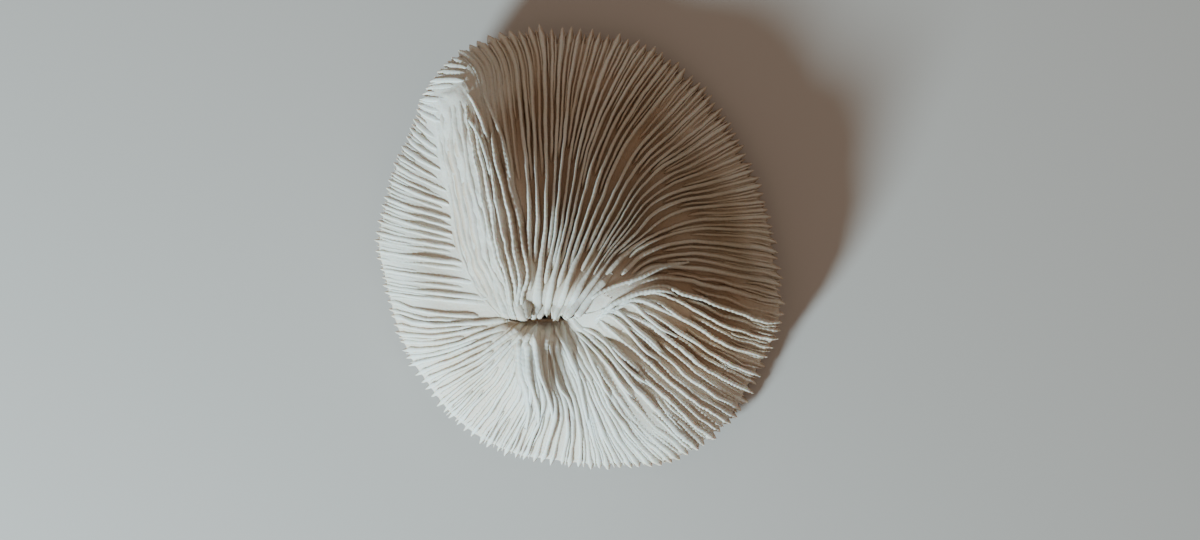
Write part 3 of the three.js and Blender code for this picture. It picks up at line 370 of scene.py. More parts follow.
# fins are thicker in some places: x, y, times
THICK = np.array([
    [-13.7, -5.8, 1.3], [-7.6, -5.8, 1.3], [-0.3, -5.8, 1.4], [8.3, -7.1, 1.3], [-13.9, -13.2, 2.1],
    [-7.8, -13.8, 2.0], [-1.6, -14.2, 2.1], [4.1, -13.2, 1.8], [-19.0, -13.3, 1.9],
    [11.9, -10.8, 1.1], [8.3, -19.6, 0.9], [13.7, -17.0, 0.9], [18.1, -14.0, 0.9],
    [3.8, -21.5, 1.1], [-9.2, -25.9, 1.7], [-11.8, -33.5, 1.6], [-7.0, -39.0, 1.5],
    [-0.6, -33.8, 1.5], [5.8, -26.0, 1.4], [-19.5, -26.1, 1.7], [-25.7, -40.0, 1.1],
    [-35.7, -24.0, 1.2], [-41.2, -13.7, 1.2], [-31.6, -43.3, 1.2], [-39.5, -32.5, 1.3],
    [-45.1, -24.6, 1.4], [-35.9, -42.2, 1.4], [-28.0, -50.4, 1.3], [-20.8, -48.4, 1.2],
    [-21.2, -34.7, 0.9], [-22.9, -30.2, 0.9], [-25.4, -26.8, 1.0], [-18.7, -38.1, 1.0],
    [-47.0, 2.1, 1.1], [-38.6, 12.4, 1.0], [-35.7, 33.0, 1.7], [-40.1, 37.4, 1.9],
    [-36.6, 42.3, 2.0], [-32.7, 48.3, 2.0], [-29.5, 51.7, 1.6], [-31.5, 43.1, 1.8],
    [5.8, 11.5, 1.0], [-4.1, 11.4, 1.0], [15.8, 4.1, 1.0], [31.2, 1.8, 1.0], [5.8, 32.7, 1.0],
    [26.3, 17.2, 1.0], [-9.3, 24.3, 1.0], [30.8, -13.4, 1.1], [42.2, -24.0, 1.0],
    [21.0, -26.2, 1.1], [26.7, -39.8, 1.2], [16.3, -47.8, 1.5], [23.1, -52.3, 1.8],
    [5.8, -44.9, 1.4], [-4.7, -47.8, 1.3], [-15.3, -48.1, 1.2], [-10.1, -50.9, 1.2],
    [-21.4, 11.4, 1.1], [-18.7, -0.9, 1.3], [0.5, 52.8, 1.0], [-20.2, 46.2, 1.1], [47.7, -8.5, 1.0],
])


def thickness(x, y):
    r2 = ((np.asarray(x)[..., None] - THICK[:, 0]) ** 2 + (np.asarray(y)[..., None] - THICK[:, 1]) ** 2)
    w = np.exp(-r2 / (2 * 4.5 ** 2)) + 1e-5 / (r2 + 9)
    return (w @ THICK[:, 2]) / w.sum(-1)


# where the skeleton is coloured browner: partly real browning, partly painted shade on the shaded right-hand side and
# under the mouth; x, y, how much
SHADE_AND_STAIN = np.array([
    [-8.2, -21.1, 0.4], [-6.1, -28.6, 0.2], [-18.2, -19.7, 0.5], [-11.7, -25.9, 0.0],
    [0.7, -26.1, 0.1], [-27.4, -23.7, 0.0], [-47.1, 12.7, 0.2], [-47.1, -3.2, 0.2],
    [-31.3, 29.9, 0.0], [-26.9, 1.7, 0.0], [-9.5, -38.9, 0.1], [42.4, 2.0, 1.0], [31.7, 17.5, 0.9],
    [30.9, -8.4, 0.6], [16.0, 24.8, 0.5], [-4.5, 32.6, 0.2], [5.8, 50.0, 0.0], [43.1, -16.1, 0.6],
    [31.3, -23.7, 0.3], [29.4, -39.9, 0.1], [16.1, -39.3, 0.0], [5.8, 0.3, 0.4], [-8.9, -1.0, 0.1],
    [2.1, 11.5, 0.5], [8.8, 7.8, 0.6], [15.8, 11.7, 0.7], [-4.1, 15.2, 0.3], [14.5, 0.4, 0.5],
    [-18.8, 11.4, 0.0], [-32.9, 12.2, 0.0], [-20.2, -39.7, 0.0], [-38.9, -26.9, 0.0],
    [10.7, -13.2, 0.1], [-20.1, 43.3, 0.2], [-14.3, 24.2, 0.3], [27.0, 36.6, 0.7],
    [51.2, -3.2, 1.0], [20.9, 6.7, 0.7], [-2.1, -50.9, 0.0],
])


def shade_and_stain_at(v):
    v = np.asarray(v, float)
    r2 = ((v[:, None, :2] - SHADE_AND_STAIN[None, :, :2]) ** 2).sum(-1)
    w = np.exp(-r2 / (2 * 5.0 ** 2)) + 1e-6 / (r2 + 9)
    return (w @ SHADE_AND_STAIN[:, 2]) / w.sum(1)


LIP_N = 64
MOUTH_Z = 25.0


def mouth_floor(x, y):
    """Floor inside the mouth: a deep slit that runs out on the right."""
    return crest(x, y) - 1.0 + (MOUTH_Z - crest(x, y) + 1.0) * sm(2.0, -1.0, x)




def lip_steps(q):
    """From the start of course q down to the mouth's upper lip: unit direction and length (mm)."""
    q = np.atleast_1d(np.asarray(q, float))
    x0, y0 = plan(q, 0.0)
    x1, y1 = plan(q, 0.06)
    d = np.stack([x0 - x1, y0 - y1], -1)
    d /= np.linalg.norm(d, axis=-1, keepdims=True)
    g = np.linspace(0, 7.5, LIP_N)
    px = x0[:, None] + d[:, :1] * g
    py = y0[:, None] + d[:, 1:] * g
    lip = np.interp(px, LIP[:, 0], LIP[:, 1])
    on = (py > lip) & (px > LIP[0, 0]) & (px < 3.4) & (d[:, 1:] < -0.3)
    run = np.cumprod(on, axis=1).sum(1)
    return d, np.where(run > 0, g[np.minimum(run, LIP_N - 1)], 0.0)


def lip_crest(x, y, z0, out):
    """Crest height on the lip, out mm beyond the start of the course."""
    return z0 - 0.05 * out - 0.012 * out ** 2


# ---------------------------------------------------------------- mesh helpers
def make_mesh(name, verts, tris, attrs, smooth=True):
    me = bpy.data.meshes.new(name)
    verts = np.asarray(verts, np.float32)
    tris = np.asarray(tris, np.int32)
    me.vertices.add(len(verts))
    me.vertices.foreach_set("co", (verts * MM).ravel())
    n = len(tris)
    me.loops.add(n * 3)
    me.loops.foreach_set("vertex_index", tris.ravel())
    me.polygons.add(n)
    me.polygons.foreach_set("loop_start", np.arange(0, n * 3, 3, dtype=np.int32))
    me.polygons.foreach_set("loop_total", np.full(n, 3, np.int32))
    me.polygons.foreach_set("use_smooth", np.full(n, smooth, bool))
    me.update(calc_edges=True)
    x, y = verts[:, 0], verts[:, 1]
    # tan in and just below the mouth, added to the depth colour: partly real tan, partly painted shade of the mouth pit
    # and the hollow below the lip
    mouth_tan_and_shade = 0.26 * np.exp(-((x + 8.2) / 5.5) ** 2 - ((y + 22.3) / 2.6) ** 2)
    mouth_tan_and_shade += 0.20 * np.exp(-((x + 6.9) / 1.7) ** 2 - ((y + 30.0) / 5.0) ** 2)
    mouth_tan_and_shade += 0.24 * np.exp(-((x + 17.5) / 4.5) ** 2 - ((y + 20.6) / 1.7) ** 2)
    mouth_tan_and_shade += 0.16 * np.exp(-((x - 1.0) / 8.0) ** 2 - ((y + 9.0) / 4.0) ** 2)
    upper_side = sm(12, 18, verts[:, 2])
    mouth_tan_and_shade *= upper_side
    # the depth colour is weakened in the lower left, so the gaps there carry less painted shade
    d = attrs["depth"] * (1 - 0.42 * sm(-24, -34, y) * sm(24, 6, x))
    # the browner colour from the table is partly real browning, partly painted shade
    attrs = {"depth": np.clip(d + mouth_tan_and_shade * (0.35 + 0.65 * sm(0.02, 0.12, d)), 0, 1), "shade_and_stain": shade_and_stain_at(verts) * (0.35 + 0.65 * upper_side)}
    for key, val in attrs.items():
        at = me.attributes.new(key, "FLOAT", "POINT")
        at.data.foreach_set("value", np.asarray(val, np.float32))
    me.validate()
    ob = bpy.data.objects.new(name, me)
    bpy.context.scene.collection.objects.link(ob)
    return ob


def grid_tris(nr, nc, close_c, base=0, flip=False):
    """Triangles of an nr x nc grid of points, closed round the columns if asked."""
    r, c = np.meshgrid(np.arange(nr - 1), np.arange(nc if close_c else nc - 1), indexing="ij")
    c2 = (c + 1) % nc
    a, b = r * nc + c, r * nc + c2
    d, e = (r + 1) * nc + c, (r + 1) * nc + c2
    t = np.concatenate([np.stack([a, d, e], -1).reshape(-1, 3), np.stack([a, e, b], -1).reshape(-1, 3)])
    if flip:
        t = t[:, ::-1]
    return t + base


# ---------------------------------------------------------------- fins (septa)
STEP = 0.36
NP = 13
# lateral weights: share of the crest half width, share of the foot half width; drop: mm and share of height
LATC = np.array([0.0, 0.55, 0.9, 1.12, 1.0, 1.0, 0.98, 0.85, 0.6, 0.0])


def underside_z(x, y, zc):
    return np.maximum(0.35, zc - 3.6)


def sweep(x, y, top, bottom, crest_half, foot_half, rng, rough=1.0, round_mm=0.8):
    """A fin as a closed wedge with a rounded crest, swept along x, y. All arrays per section, mm."""
    n = len(x)
    dx, dy = np.gradient(x), np.gradient(y)
    ln = np.maximum(np.hypot(dx, dy), 1e-9)
    nx, ny = -dy / ln, dx / ln
    h = np.maximum(top - bottom, 0.35)
    c = np.minimum(round_mm, 0.4 * h)
    lat, drop = [], []
    foot = np.maximum(foot_half, crest_half)
    for side in (-1, 1):
        cols = [(crest_half * 0.62, 0.12 * c), (crest_half * 0.93, 0.45 * c), (crest_half * 1.06, c),
                (crest_half + 0.16 * (foot - crest_half), 0.40 * h + 0.6 * c * (1 - 0.4)),
                (crest_half + 0.48 * (foot - crest_half), 0.74 * h), (foot, h)]
        if side < 0:
            cols = cols[::-1]
        lat += [side * a for a, _ in cols]
        drop += [b for _, b in cols]
        if side < 0:
            lat.append(np.zeros(n))
            drop.append(np.zeros(n))
    lat, drop = np.stack(lat, 1), np.stack(drop, 1)
    k = np.array([0, .05, .07, .05, .035, .02, .02, .02, .035, .05, .07, .05, 0]) * rough
    lat = lat + rng.uniform(-1, 1, (n, NP)) * k * np.minimum(1, crest_half / 0.3)[:, None]
    z = np.maximum(top[:, None] - np.minimum(drop, h[:, None]), 0.25)
    v = np.stack([x[:, None] + nx[:, None] * lat, y[:, None] + ny[:, None] * lat, z], -1).reshape(-1, 3)
    tr = grid_tris(n, NP, True, flip=True)
    cap = [[0, i, i + 1] for i in range(1, NP - 1)]
    cap2 = [[(n - 1) * NP, (n - 1) * NP + i + 1, (n - 1) * NP + i] for i in range(1, NP - 1)]
    return v, np.concatenate([tr, np.array(cap), np.array(cap2)])


SIDE0 = 24.6


def make_fin(q0, order, t0, t1, rng, half, lower, teeth=1.0):
    """One fin on the courses: verts, tris, depth."""
    tt = np.linspace(t0, t1, 400)
    wander = 0.05 * np.interp(tt, np.linspace(0, 1, 9), rng.uniform(-1, 1, 9)) * sm(0.05, 0.3, tt)
    x, y = plan(q0 + wander, tt)
    blocked = False
    beyond = np.zeros(len(x))
    if t0 <= 0:
        d, ext = lip_steps(q0)
        if ext[0] > 0.5:
            g = np.linspace(float(ext[0]) - 0.1, 0.02, 30)
            x = np.concatenate([x[0] + d[0, 0] * g, x])
            y = np.concatenate([y[0] + d[0, 1] * g, y])
            tt = np.concatenate([np.zeros(30), tt])
            beyond = np.concatenate([g, beyond])
    if SIDE0 <= q0 % NQ <= 38.8:
        rx, ry = plan(q0, 1.0)
        o = np.argsort(LEFT[:, 1])
        fx = float(np.interp(ry, LEFT[o, 1], LEFT[o, 2]))
        fy = float(np.interp(ry, LEFT[o, 1], LEFT[o, 3]))
        mx, my = fx + 0.5 * (rx - fx), fy + 0.36 * (ry - fy)
        u = np.linspace({1: 0.0, 2: 0.0, 3: 0.0}.get(order, 0.0) if order < 4 else 0.25 + 0.5 * t0, t1, 400)
        x = (1 - u) ** 2 * fx + 2 * u * (1 - u) * mx + u ** 2 * float(rx)
        y = (1 - u) ** 2 * fy + 2 * u * (1 - u) * my + u ** 2 * float(ry)
        if order == 3 and rng.uniform() < 0.5:
            k = int(rng.uniform(20, 110))
            x, y, u = x[k:], y[k:], u[k:]
        tt = 0.45 + 0.55 * u
        beyond = np.zeros(len(x))
        blocked = order < 3
    seg = np.concatenate([[0], np.cumsum(np.hypot(np.diff(x), np.diff(y)))])
    length = seg[-1]
    n = max(int(length / STEP), 8)
    s = np.linspace(0, length, n)
    beyond = np.interp(s, seg, beyond)
    x, y, t = np.interp(s, seg, x), np.interp(s, seg, y), np.interp(s, seg, tt)
    dx, dy = np.gradient(x), np.gradient(y)
    ln = np.maximum(np.hypot(dx, dy), 1e-9)
    wild = float(sm(280, 300, (q0 * 5) % 360) * sm(358, 345, (q0 * 5) % 360))
    sway = (0.11 + 0.13 * wild) * noise1(s, 5.0, rng) + (0.05 + 0.06 * wild) * noise1(s, 1.6, rng)
    x, y = x - dy / ln * sway, y + dx / ln * sway
    zc = crest(x, y)
    if beyond.max() > 0:
        xs, ys = plan(q0, 0.0)
        zc = np.where(beyond > 0, lip_crest(x, y, float(crest(xs, ys)), beyond), zc)
        k = 2 * int(0.9 / STEP) + 1
        zc = np.convolve(np.pad(zc, k // 2, mode="edge"), np.ones(k) / k, mode="valid")
    dep = gap_depth(x, y, t)
    xa, ya = plan(q0 + 0.5, t)
    xb, yb = plan(q0 - 0.5, t)
    pitch_here = 0.5 * np.hypot(xa - xb, ya - yb)
    if SIDE0 <= q0 % NQ <= 38.8:
        pitch_here = np.full(len(t), 1.8)
    pitch_here = pitch_here * (1 + (1 - sm(0.26, 0.42, t)))
    pitch_foot = pitch_here * (1 + (1.6 if 4 <= q0 % NQ <= 48 else 0.2) * (1 - sm(0.08, 0.2, t)))
    pitch_here = pitch_here * (1 + 1.6 * (1 - sm(0.08, 0.2, t)))
    left = length - s
    rise = np.sqrt(np.clip(1 - (1 - np.clip(s / (1.2 if (order == 1 or blocked) else 6.0), 0, 1)) ** 2, 0, 1))
    top = zc - np.minimum(lower * (1 - 0.6 * sm(0.8, 1.0, t)), 0.55 * dep) + (0.24 + 0.14 * wild) * noise1(s, 7.0, rng) * sm(0, 4, s)
    top -= dep * 0.9 * (1 - rise)
    tooth = float(tooth_len(q0))
    top -= 1.15 * sm(tooth * 0.9, 0.0, left)
    pitch = rng.uniform(0.95, 1.3)
    ph = s / pitch + 0.35 * noise1(s, 3.0, rng) + rng.uniform()
    bead = np.abs(np.sin(math.pi * ph)) ** 0.8
    amp = teeth * (0.15 + 0.08 * noise1(s, 6.0, rng)) * sm(0.0, 2.5, s)
    calm = 0.2 + 0.8 * sm(0.35, 0.6, t) if 0.4 <= q0 % NQ <= 16 else 1.0
    amp = amp * calm
    top += amp * (bead - 0.6) + 0.03 * rng.uniform(-1, 1, n)
    w = half * (1 + 0.16 * noise1(s, 4.0, rng) + (0.12 + 0.08 * wild) * (bead - 0.6) * teeth * calm)
    near_lip = (1 - sm(0.02, 0.16, t)) if 4 <= q0 % NQ <= 34 else 0.0
    w = np.minimum(w * thickness(x, y), (0.36 + 0.16 * near_lip) * pitch_here) * (0.5 + 0.5 * sm(0, 2.0, s))
    w = w * (0.2 + 0.8 * np.clip(left / (tooth * 0.95), 0, 1) ** 0.8)
    saw = float(sm(180, 200, q0 * 5) * sm(300, 280, q0 * 5))
    w = w * (1 + 0.55 * saw * np.exp(-((left - 0.85 * tooth) / 1.3) ** 2) * (order < 4))
    floor = zc - dep - 0.5
    edge = np.clip(1 - left / tooth, 0, 1)
    low_edge = underside_z(x, y, zc) + 0.25
    bottom = np.where(edge > 0, floor + (low_edge - floor) * np.clip(edge * 3, 0, 1), floor)
    bottom = bottom + (top - 0.55 - bottom) * sm(0.55, 1.0, edge)
    bottom = np.minimum(bottom, top - 0.35)
    thin = float(sm(185, 205, q0 * 5) * sm(285, 265, q0 * 5))
    foot = np.maximum(w, pitch_foot * ((0.5 - 0.16 * thin) if order < 4 else 0.3 - 0.06 * thin))
    foot = foot * (1 - edge) + (w * 1.35) * edge
    v, tr = sweep(x, y, top, bottom, w, foot, rng, round_mm=0.8 + 0.5 * near_lip)
    # depth below the crest, used for the gap colour: partly the real tan of the hollows, partly painted shade in the
    # gaps
    depth = np.clip((np.repeat(zc, NP) - v[:, 2]) / 4.2, 0, 1)
    return v, tr, depth


rng = np.random.default_rng(SEED)
fins = []
for f in range(144):
    q = f / 2.0 + rng.uniform(-0.07, 0.07)
    deg = f * 2.5
    beads = 1.0 + 1.1 * float(sm(285, 305, deg) * sm(350, 335, deg)) - 0.4 * float(sm(10, 30, deg) * sm(120, 90, deg))
    if f % 8 == 0:
        order, t0, half, lower = 1, 0.0, rng.uniform(0.38, 0.46), 0.0
    elif f % 8 == 4:
        order, t0, half, lower = 2, rng.uniform(0.03, 0.08), rng.uniform(0.35, 0.43), rng.uniform(0.0, 0.2)
    elif f % 4 == 2:
        order, t0, half, lower = 2, rng.uniform(0.12, 0.20), rng.uniform(0.33, 0.42), rng.uniform(0.0, 0.35)
    else:
        order, t0, half, lower = 3, rng.uniform(0.26, 0.40), rng.uniform(0.30, 0.38), rng.uniform(0.1, 0.6)
    wide = float(max(sm(128, 112, deg), sm(280, 296, deg)))
    if order == 3:
        near_r = float(sm(280, 296, deg))
        t0 += (0.14 - 0.10 * near_r) * wide
        lower += (0.25 + 0.3 * rng.uniform()) * (wide - 0.5 * near_r)
    if deg > 338 or deg < 12:      # the smooth shoulder right of the mouth
        t0 = max(t0, 0.11 + 0.04 * rng.uniform())
    if 12 <= deg <= 62 and order > 1:      # crowded inner ends of the right-hand fan
        t0 += {2: 0.08, 3: 0.12}[order] * (0.6 + 0.8 * rng.uniform())
    if 318 <= deg <= 352 and order == 3:
        lower += 0.7
    if 236 <= deg <= 272 and order == 3:
        lower += 0.9
    if 110 < deg < 124:
        lower += 0.3 + 0.7 * float(sm(114, 119, deg))
    fins.append((q, order, t0, 1.0 + rng.uniform(-0.018, 0.004), half, lower, beads))
    q4 = f / 2.0 + 0.25 + rng.uniform(-0.04, 0.04)
    short = 0.014 * float(sm(138, 150, deg) * sm(215, 200, deg))
    if 196 < deg < 276 and rng.uniform() < 0.5:
        continue
    fins.append((q4, 4, rng.uniform(0.5, 0.72) + 0.12 * wide, 1.0 - rng.uniform(0.004, 0.030) - 0.01 * wide - short,
                 rng.uniform(0.20, 0.27), rng.uniform(0.6, 1.2) + 0.3 * wide, beads))

pieces = []
for i, (q, order, t0, t1, half, lower, beads) in enumerate(fins):
    r = np.random.default_rng(SEED + 17 * i + 1)
    pieces.append((q,) + make_fin(q, order, t0, t1, r, half, lower, beads))


def along(path, n):
    p = np.asarray(path, float)
    d = np.concatenate([[0], np.cumsum(np.hypot(*np.diff(p, axis=0).T))])
    ext = np.concatenate([2 * p[:1] - p[1:2], p, 2 * p[-1:] - p[-2:-1]])
    u = np.linspace(0, len(p) - 1, 200)
    i = np.minimum(u.astype(int), len(p) - 2)
    f = (u - i)[:, None]
    c = _cr(ext[i], ext[i + 1], ext[i + 2], ext[i + 3], f)
    s = np.concatenate([[0], np.cumsum(np.hypot(*np.diff(c, axis=0).T))])
    if n is None:
        n = int(s[-1] / STEP) + 2
    t = np.linspace(0, s[-1], n)
    return np.interp(t, s, c[:, 0]), np.interp(t, s, c[:, 1]), t


# streaks down the steep flank
extra = []
STREAKS = [(0.10, 0.7, 0.05), (0.27, 1.0, 0.1), (0.45, 1.1, 0.1), (0.62, 1.0, 0.2), (0.78, 0.7, 0.35), (0.92, 0.45, 0.6),
           (1.06, 0.45, 0.8), (1.22, 0.42, 0.75), (1.42, 0.45, 0.8), (1.62, 0.42, 0.55)]
for i, (w, hw, lift) in enumerate(STREAKS):
    r = np.random.default_rng(SEED + 5000 + i)
    x, y, s = along(FOOT * (1 - w) + CREST * w, None)
    a = r.uniform(0.0, 0.08) + 0.30 * max(0.0, w - 0.9)
    keep = s >= s[-1] * a
    x, y, s = x[keep], y[keep], s[keep] - s[keep][0]
    sway = 0.5 * noise1(s, 8.0, r) + 0.12 * noise1(s, 2.2, r)
    dx, dy = np.gradient(x), np.gradient(y)
    ln = np.hypot(dx, dy)
    x, y = x - dy / ln * sway, y + dx / ln * sway
    zc = crest(x, y)
    k0 = int(np.searchsorted(s, s[-1] - 4.2))
    held = zc[k0] - 0.22 * (s - s[k0])
    zc = np.where(s > s[k0], np.maximum(zc, held), zc)
    ends = sm(0, 5, s) * sm(0, 1.1, s[-1] - s)
    bead = np.abs(np.sin(math.pi * (s / 1.5 + 0.4 * noise1(s, 3.0, r))))
    hgt = (lift + 0.22 * noise1(s, 5.0, r)) * ends
    top = zc + hgt - 0.35 - 0.5 * (1 - ends) + 0.22 * (bead - 0.5) * (w > 0.85) + 0.04 * r.uniform(-1, 1, len(s))
    ww = hw * (0.6 + 0.4 * ends) * (1 + 0.25 * noise1(s, 3.5, r) + 0.15 * (bead - 0.5) * (w > 0.85))
    deep = np.where(s > s[k0], np.minimum(top - 2.4, 25.5), top - 2.4)
    v, tr = sweep(x, y, top, deep, ww, ww + 0.9 * sm(1.0, 4.0, s[-1] - s), r, rough=1.4, round_mm=0.8 + 0.6 * (hw > 0.6))
    extra.append((30.0, v, tr, np.clip((np.repeat(zc, NP) + 0.4 - v[:, 2]) / 4.2, 0, 1)))

# rounded lobes where the fins meet the mouth, none listed here: path, half width, height over the crest surface
LOBES = [

]
for i, (path, hw, lift) in enumerate(LOBES):
    r = np.random.default_rng(SEED + 7000 + i)
    x, y, s = along(path, None)
    rest = s[-1] - s
    tip = np.sqrt(np.clip(1 - (1 - np.clip(rest / min(1.5, hw), 0, 1)) ** 2, 0, 1))
    start = sm(0, 7, s)
    base = crest(x, y)
    k0 = int(0.55 * len(s))
    held = base[k0] - 0.05 * (s - s[k0]) - 0.012 * (s - s[k0]) ** 2
    top = np.where(np.arange(len(s)) > k0, np.maximum(base, held), base)
    top = top + lift - 1.3 * (1 - start) - 1.3 * (1 - tip) + 0.03 * r.uniform(-1, 1, len(s))
    w = hw * (0.5 + 0.5 * start) * (0.35 + 0.65 * tip) * (1 + 0.05 * noise1(s, 3.0, r))
    deep = 23.5 if path[-1][0] < 2.5 else 30.0
    bottom = np.minimum(top - 2.0, deep)
    v, tr = sweep(x, y, top, bottom, w, w * 1.02, r, rough=0.4, round_mm=min(2.0, 0.95 * hw))
    extra.append((20.0 if i < 4 else 10.0, v, tr, np.clip((np.repeat(top, NP) - v[:, 2]) / 8.0 + 0.03, 0, 0.6)))

# single crests that stand free on the shoulder right of the mouth
RIDGES = [
    ([(-29.2, 40.2), (-27.9, 39.1), (-26.3, 36.6), (-24.6, 33.2), (-23.2, 29.4), (-21.7, 25.2)], 0.5, 0.5),
    ([(-28.5, 34.3), (-27.1, 31.9), (-25.2, 28.9), (-23.5, 25.2), (-22.1, 21.1), (-21.2, 16.0)], 0.5, 0.5),
    ([(-24.9, 40.7), (-23.3, 37.5), (-21.6, 33.7), (-19.7, 29.4), (-18.0, 24.2), (-16.8, 19.0), (-15.7, 13.4)], 0.42, 0.3),
    ([(8.8, -15.5), (11.9, -14.0), (14.9, -13.0), (19.4, -14.5), (23.8, -17.1)], 0.45, 0.3),
    ([(6.5, -17.0), (10.0, -15.2), (13.7, -14.2), (17.0, -17.0), (20.9, -20.2), (25.3, -22.8)], 0.45, 0.3),
    ([(4.8, -17.8), (7.3, -16.2), (10.0, -15.7), (14.5, -20.1), (18.9, -24.0), (22.9, -28.0)], 0.46, 0.35),
    ([(3.8, -18.9), (5.8, -17.5), (8.3, -17.0), (12.0, -20.1), (16.4, -25.3), (21.1, -29.3)], 0.44, 0.25),
    ([(0.2, -20.0), (3.8, -21.5), (7.1, -23.9), (10.8, -28.5), (14.7, -32.5), (19.2, -35.9)], 0.46, 0.3),
    ([(-1.3, -20.6), (1.2, -22.8), (5.0, -26.5), (8.3, -30.3), (10.9, -34.3), (14.8, -39.3)], 0.44, 0.3),
    ([(8.7, -6.6), (5.3, -10.5), (2.4, -14.0), (-0.2, -17.6)], 0.95, -0.15),
    ([(-20.3, -6.3), (-19.2, -11.3), (-17.6, -17.6)], 1.1, -0.25),
    ([(-8.6, -9.5), (-9.5, -13.3), (-11.0, -18.3)], 0.8, -0.2),
    ([(1.9, -14.2), (5.3, -11.7), (9.2, -9.8), (15.6, -7.7), (21.2, -5.2), (28.4, -3.8)], 0.5, 0.3),
    ([(6.3, -17.8), (8.8, -14.5), (12.7, -12.5), (16.8, -11.1), (21.6, -10.8), (25.1, -12.5)], 0.55, 0.6),
    ([(4.8, -19.6), (6.8, -16.0), (9.7, -14.0), (14.2, -13.2), (18.1, -14.2)], 0.4, 0.2),
]
for i, (path, hw, lift) in enumerate(RIDGES):
    r = np.random.default_rng(SEED + 8000 + i)
    x, y, s = along(path, None)
    x, y = x + 0.06 * noise1(s, 2.0, r), y + 0.06 * noise1(s, 2.0, r)
    at_lip = hw > 0.7
    ends = sm(0, 3.5, s) * sm(0, 1.0 if at_lip else 4.5, s[-1] - s)
    bead = np.abs(np.sin(math.pi * s / 1.15)) ** 0.8 * (0.3 if at_lip else 1.0)
    base = crest(x, y)
    if at_lip:
        k0 = int(0.55 * len(s))
        base = np.where(np.arange(len(s)) > k0, np.maximum(base, base[k0] - 0.22 * (s - s[k0])), base)
    top = base + lift * ends - 0.9 * (1 - ends) + 0.16 * (bead - 0.6) + 0.03 * r.uniform(-1, 1, len(s))
    w = hw * (0.6 + 0.4 * ends) * (1 + 0.1 * noise1(s, 3.0, r) + 0.1 * (bead - 0.6))
    deep = np.minimum(top - 2.4, 24.5 if path[-1][0] < 2.5 and at_lip else 99.0)
    v, tr = sweep(x, y, top, deep, w, w * (1.2 if at_lip else 2.0), r, round_mm=1.2 if at_lip else 0.8)
    extra.append((4.0, v, tr, np.clip((np.repeat(top, NP) - v[:, 2]) / 4.2, 0, 1)))

# broad folds on the swelling below the mouth: x, y, half width along the path, and lift
FOLDS = [
    ([(-12.5, -23.4, 1.6), (-12.2, -27.9, 2.1), (-11.5, -32.9, 1.8), (-10.2, -37.8, 1.0)], -0.25),
    ([(-14.3, -22.7, 0.9), (-14.0, -27.2, 1.0), (-13.8, -32.2, 0.9), (-12.7, -36.7, 0.55), (-12.5, -41.9, 0.42), (-13.7, -48.0, 0.35)], 0.25),
    ([(-12.3, -22.2, 0.8), (-12.2, -27.1, 0.9), (-12.0, -32.2, 0.8), (-10.9, -36.6, 0.5), (-10.1, -41.8, 0.42), (-10.5, -47.9, 0.35)], 0.3),
    ([(-10.2, -18.8, 0.32), (-10.5, -22.4, 0.5), (-10.2, -26.4, 0.75), (-9.5, -30.4, 0.8), (-8.3, -34.8, 0.5), (-7.0, -39.0, 0.45), (-6.4, -45.4, 0.38)], 0.5),
    ([(-7.1, -22.5, 0.3), (-6.6, -26.5, 0.36), (-5.8, -31.1, 0.45), (-4.4, -35.9, 0.45), (-2.2, -39.3, 0.42), (-1.0, -45.0, 0.35)], 0.35),
    ([(-5.6, -18.6, 0.3), (-5.1, -22.1, 0.42), (-2.8, -25.1, 0.75), (-1.0, -29.1, 0.75), (0.5, -33.8, 0.5), (1.7, -39.9, 0.42), (2.9, -47.9, 0.35)], 0.4),
    ([(-0.5, -21.8, 0.4), (1.8, -24.8, 0.5), (4.0, -29.0, 0.5), (6.3, -34.2, 0.45), (9.1, -39.7, 0.4)], 0.3),
]
for i, (path, lift) in enumerate(FOLDS):
    r = np.random.default_rng(SEED + 9000 + i)
    pts = np.asarray(path)
    x, y, s = along(pts[:, :2], None)
    cum = np.concatenate([[0], np.cumsum(np.hypot(*np.diff(pts[:, :2], axis=0).T))])
    hw = np.interp(s, cum, pts[:, 2])
    x = x + 0.10 * noise1(s, 3.0, r)
    ends = sm(0, 3.0, s) * sm(0, 4.0, s[-1] - s)
    bead = np.abs(np.sin(math.pi * (s / 1.6 + 0.4 * noise1(s, 3.0, r))))
    top = crest(x, y) + (lift + 0.15 * noise1(s, 4.0, r)) * ends - 0.8 * (1 - ends) + 0.1 * (bead - 0.5)
    w = hw * (0.6 + 0.4 * ends) * (1 + 0.12 * noise1(s, 3.0, r))
    v, tr = sweep(x, y, top, top - 2.2, w, w + 0.9, r, round_mm=1.2)
    extra.append((50.0, v, tr, np.clip((np.repeat(top, NP) - v[:, 2]) / 4.2, 0, 1)))

pieces += extra
pieces.sort(key=lambda p: (p[0] + 9) % NQ)
total = sum(len(p[2]) for p in pieces)
SECTORS = ["septa_right", "septa_far", "septa_far_left", "septa_left", "septa_near"]
objs = []
acc, k = 0, 0
groups = [[] for _ in SECTORS]
for p in pieces:
    groups[min(int(acc * len(SECTORS) / total), len(SECTORS) - 1)].append(p)
    acc += len(p[2])
for key, group in zip(SECTORS, groups):
    n0, vs, ts, ds = 0, [], [], []
    for _, v, tr, d in group:
        vs.append(v), ts.append(tr + n0), ds.append(d)
        n0 += len(v)
    objs.append(make_mesh(key, np.concatenate(vs), np.concatenate(ts), {"depth": np.concatenate(ds)}))
    print(key, len(objs[-1].data.polygons))

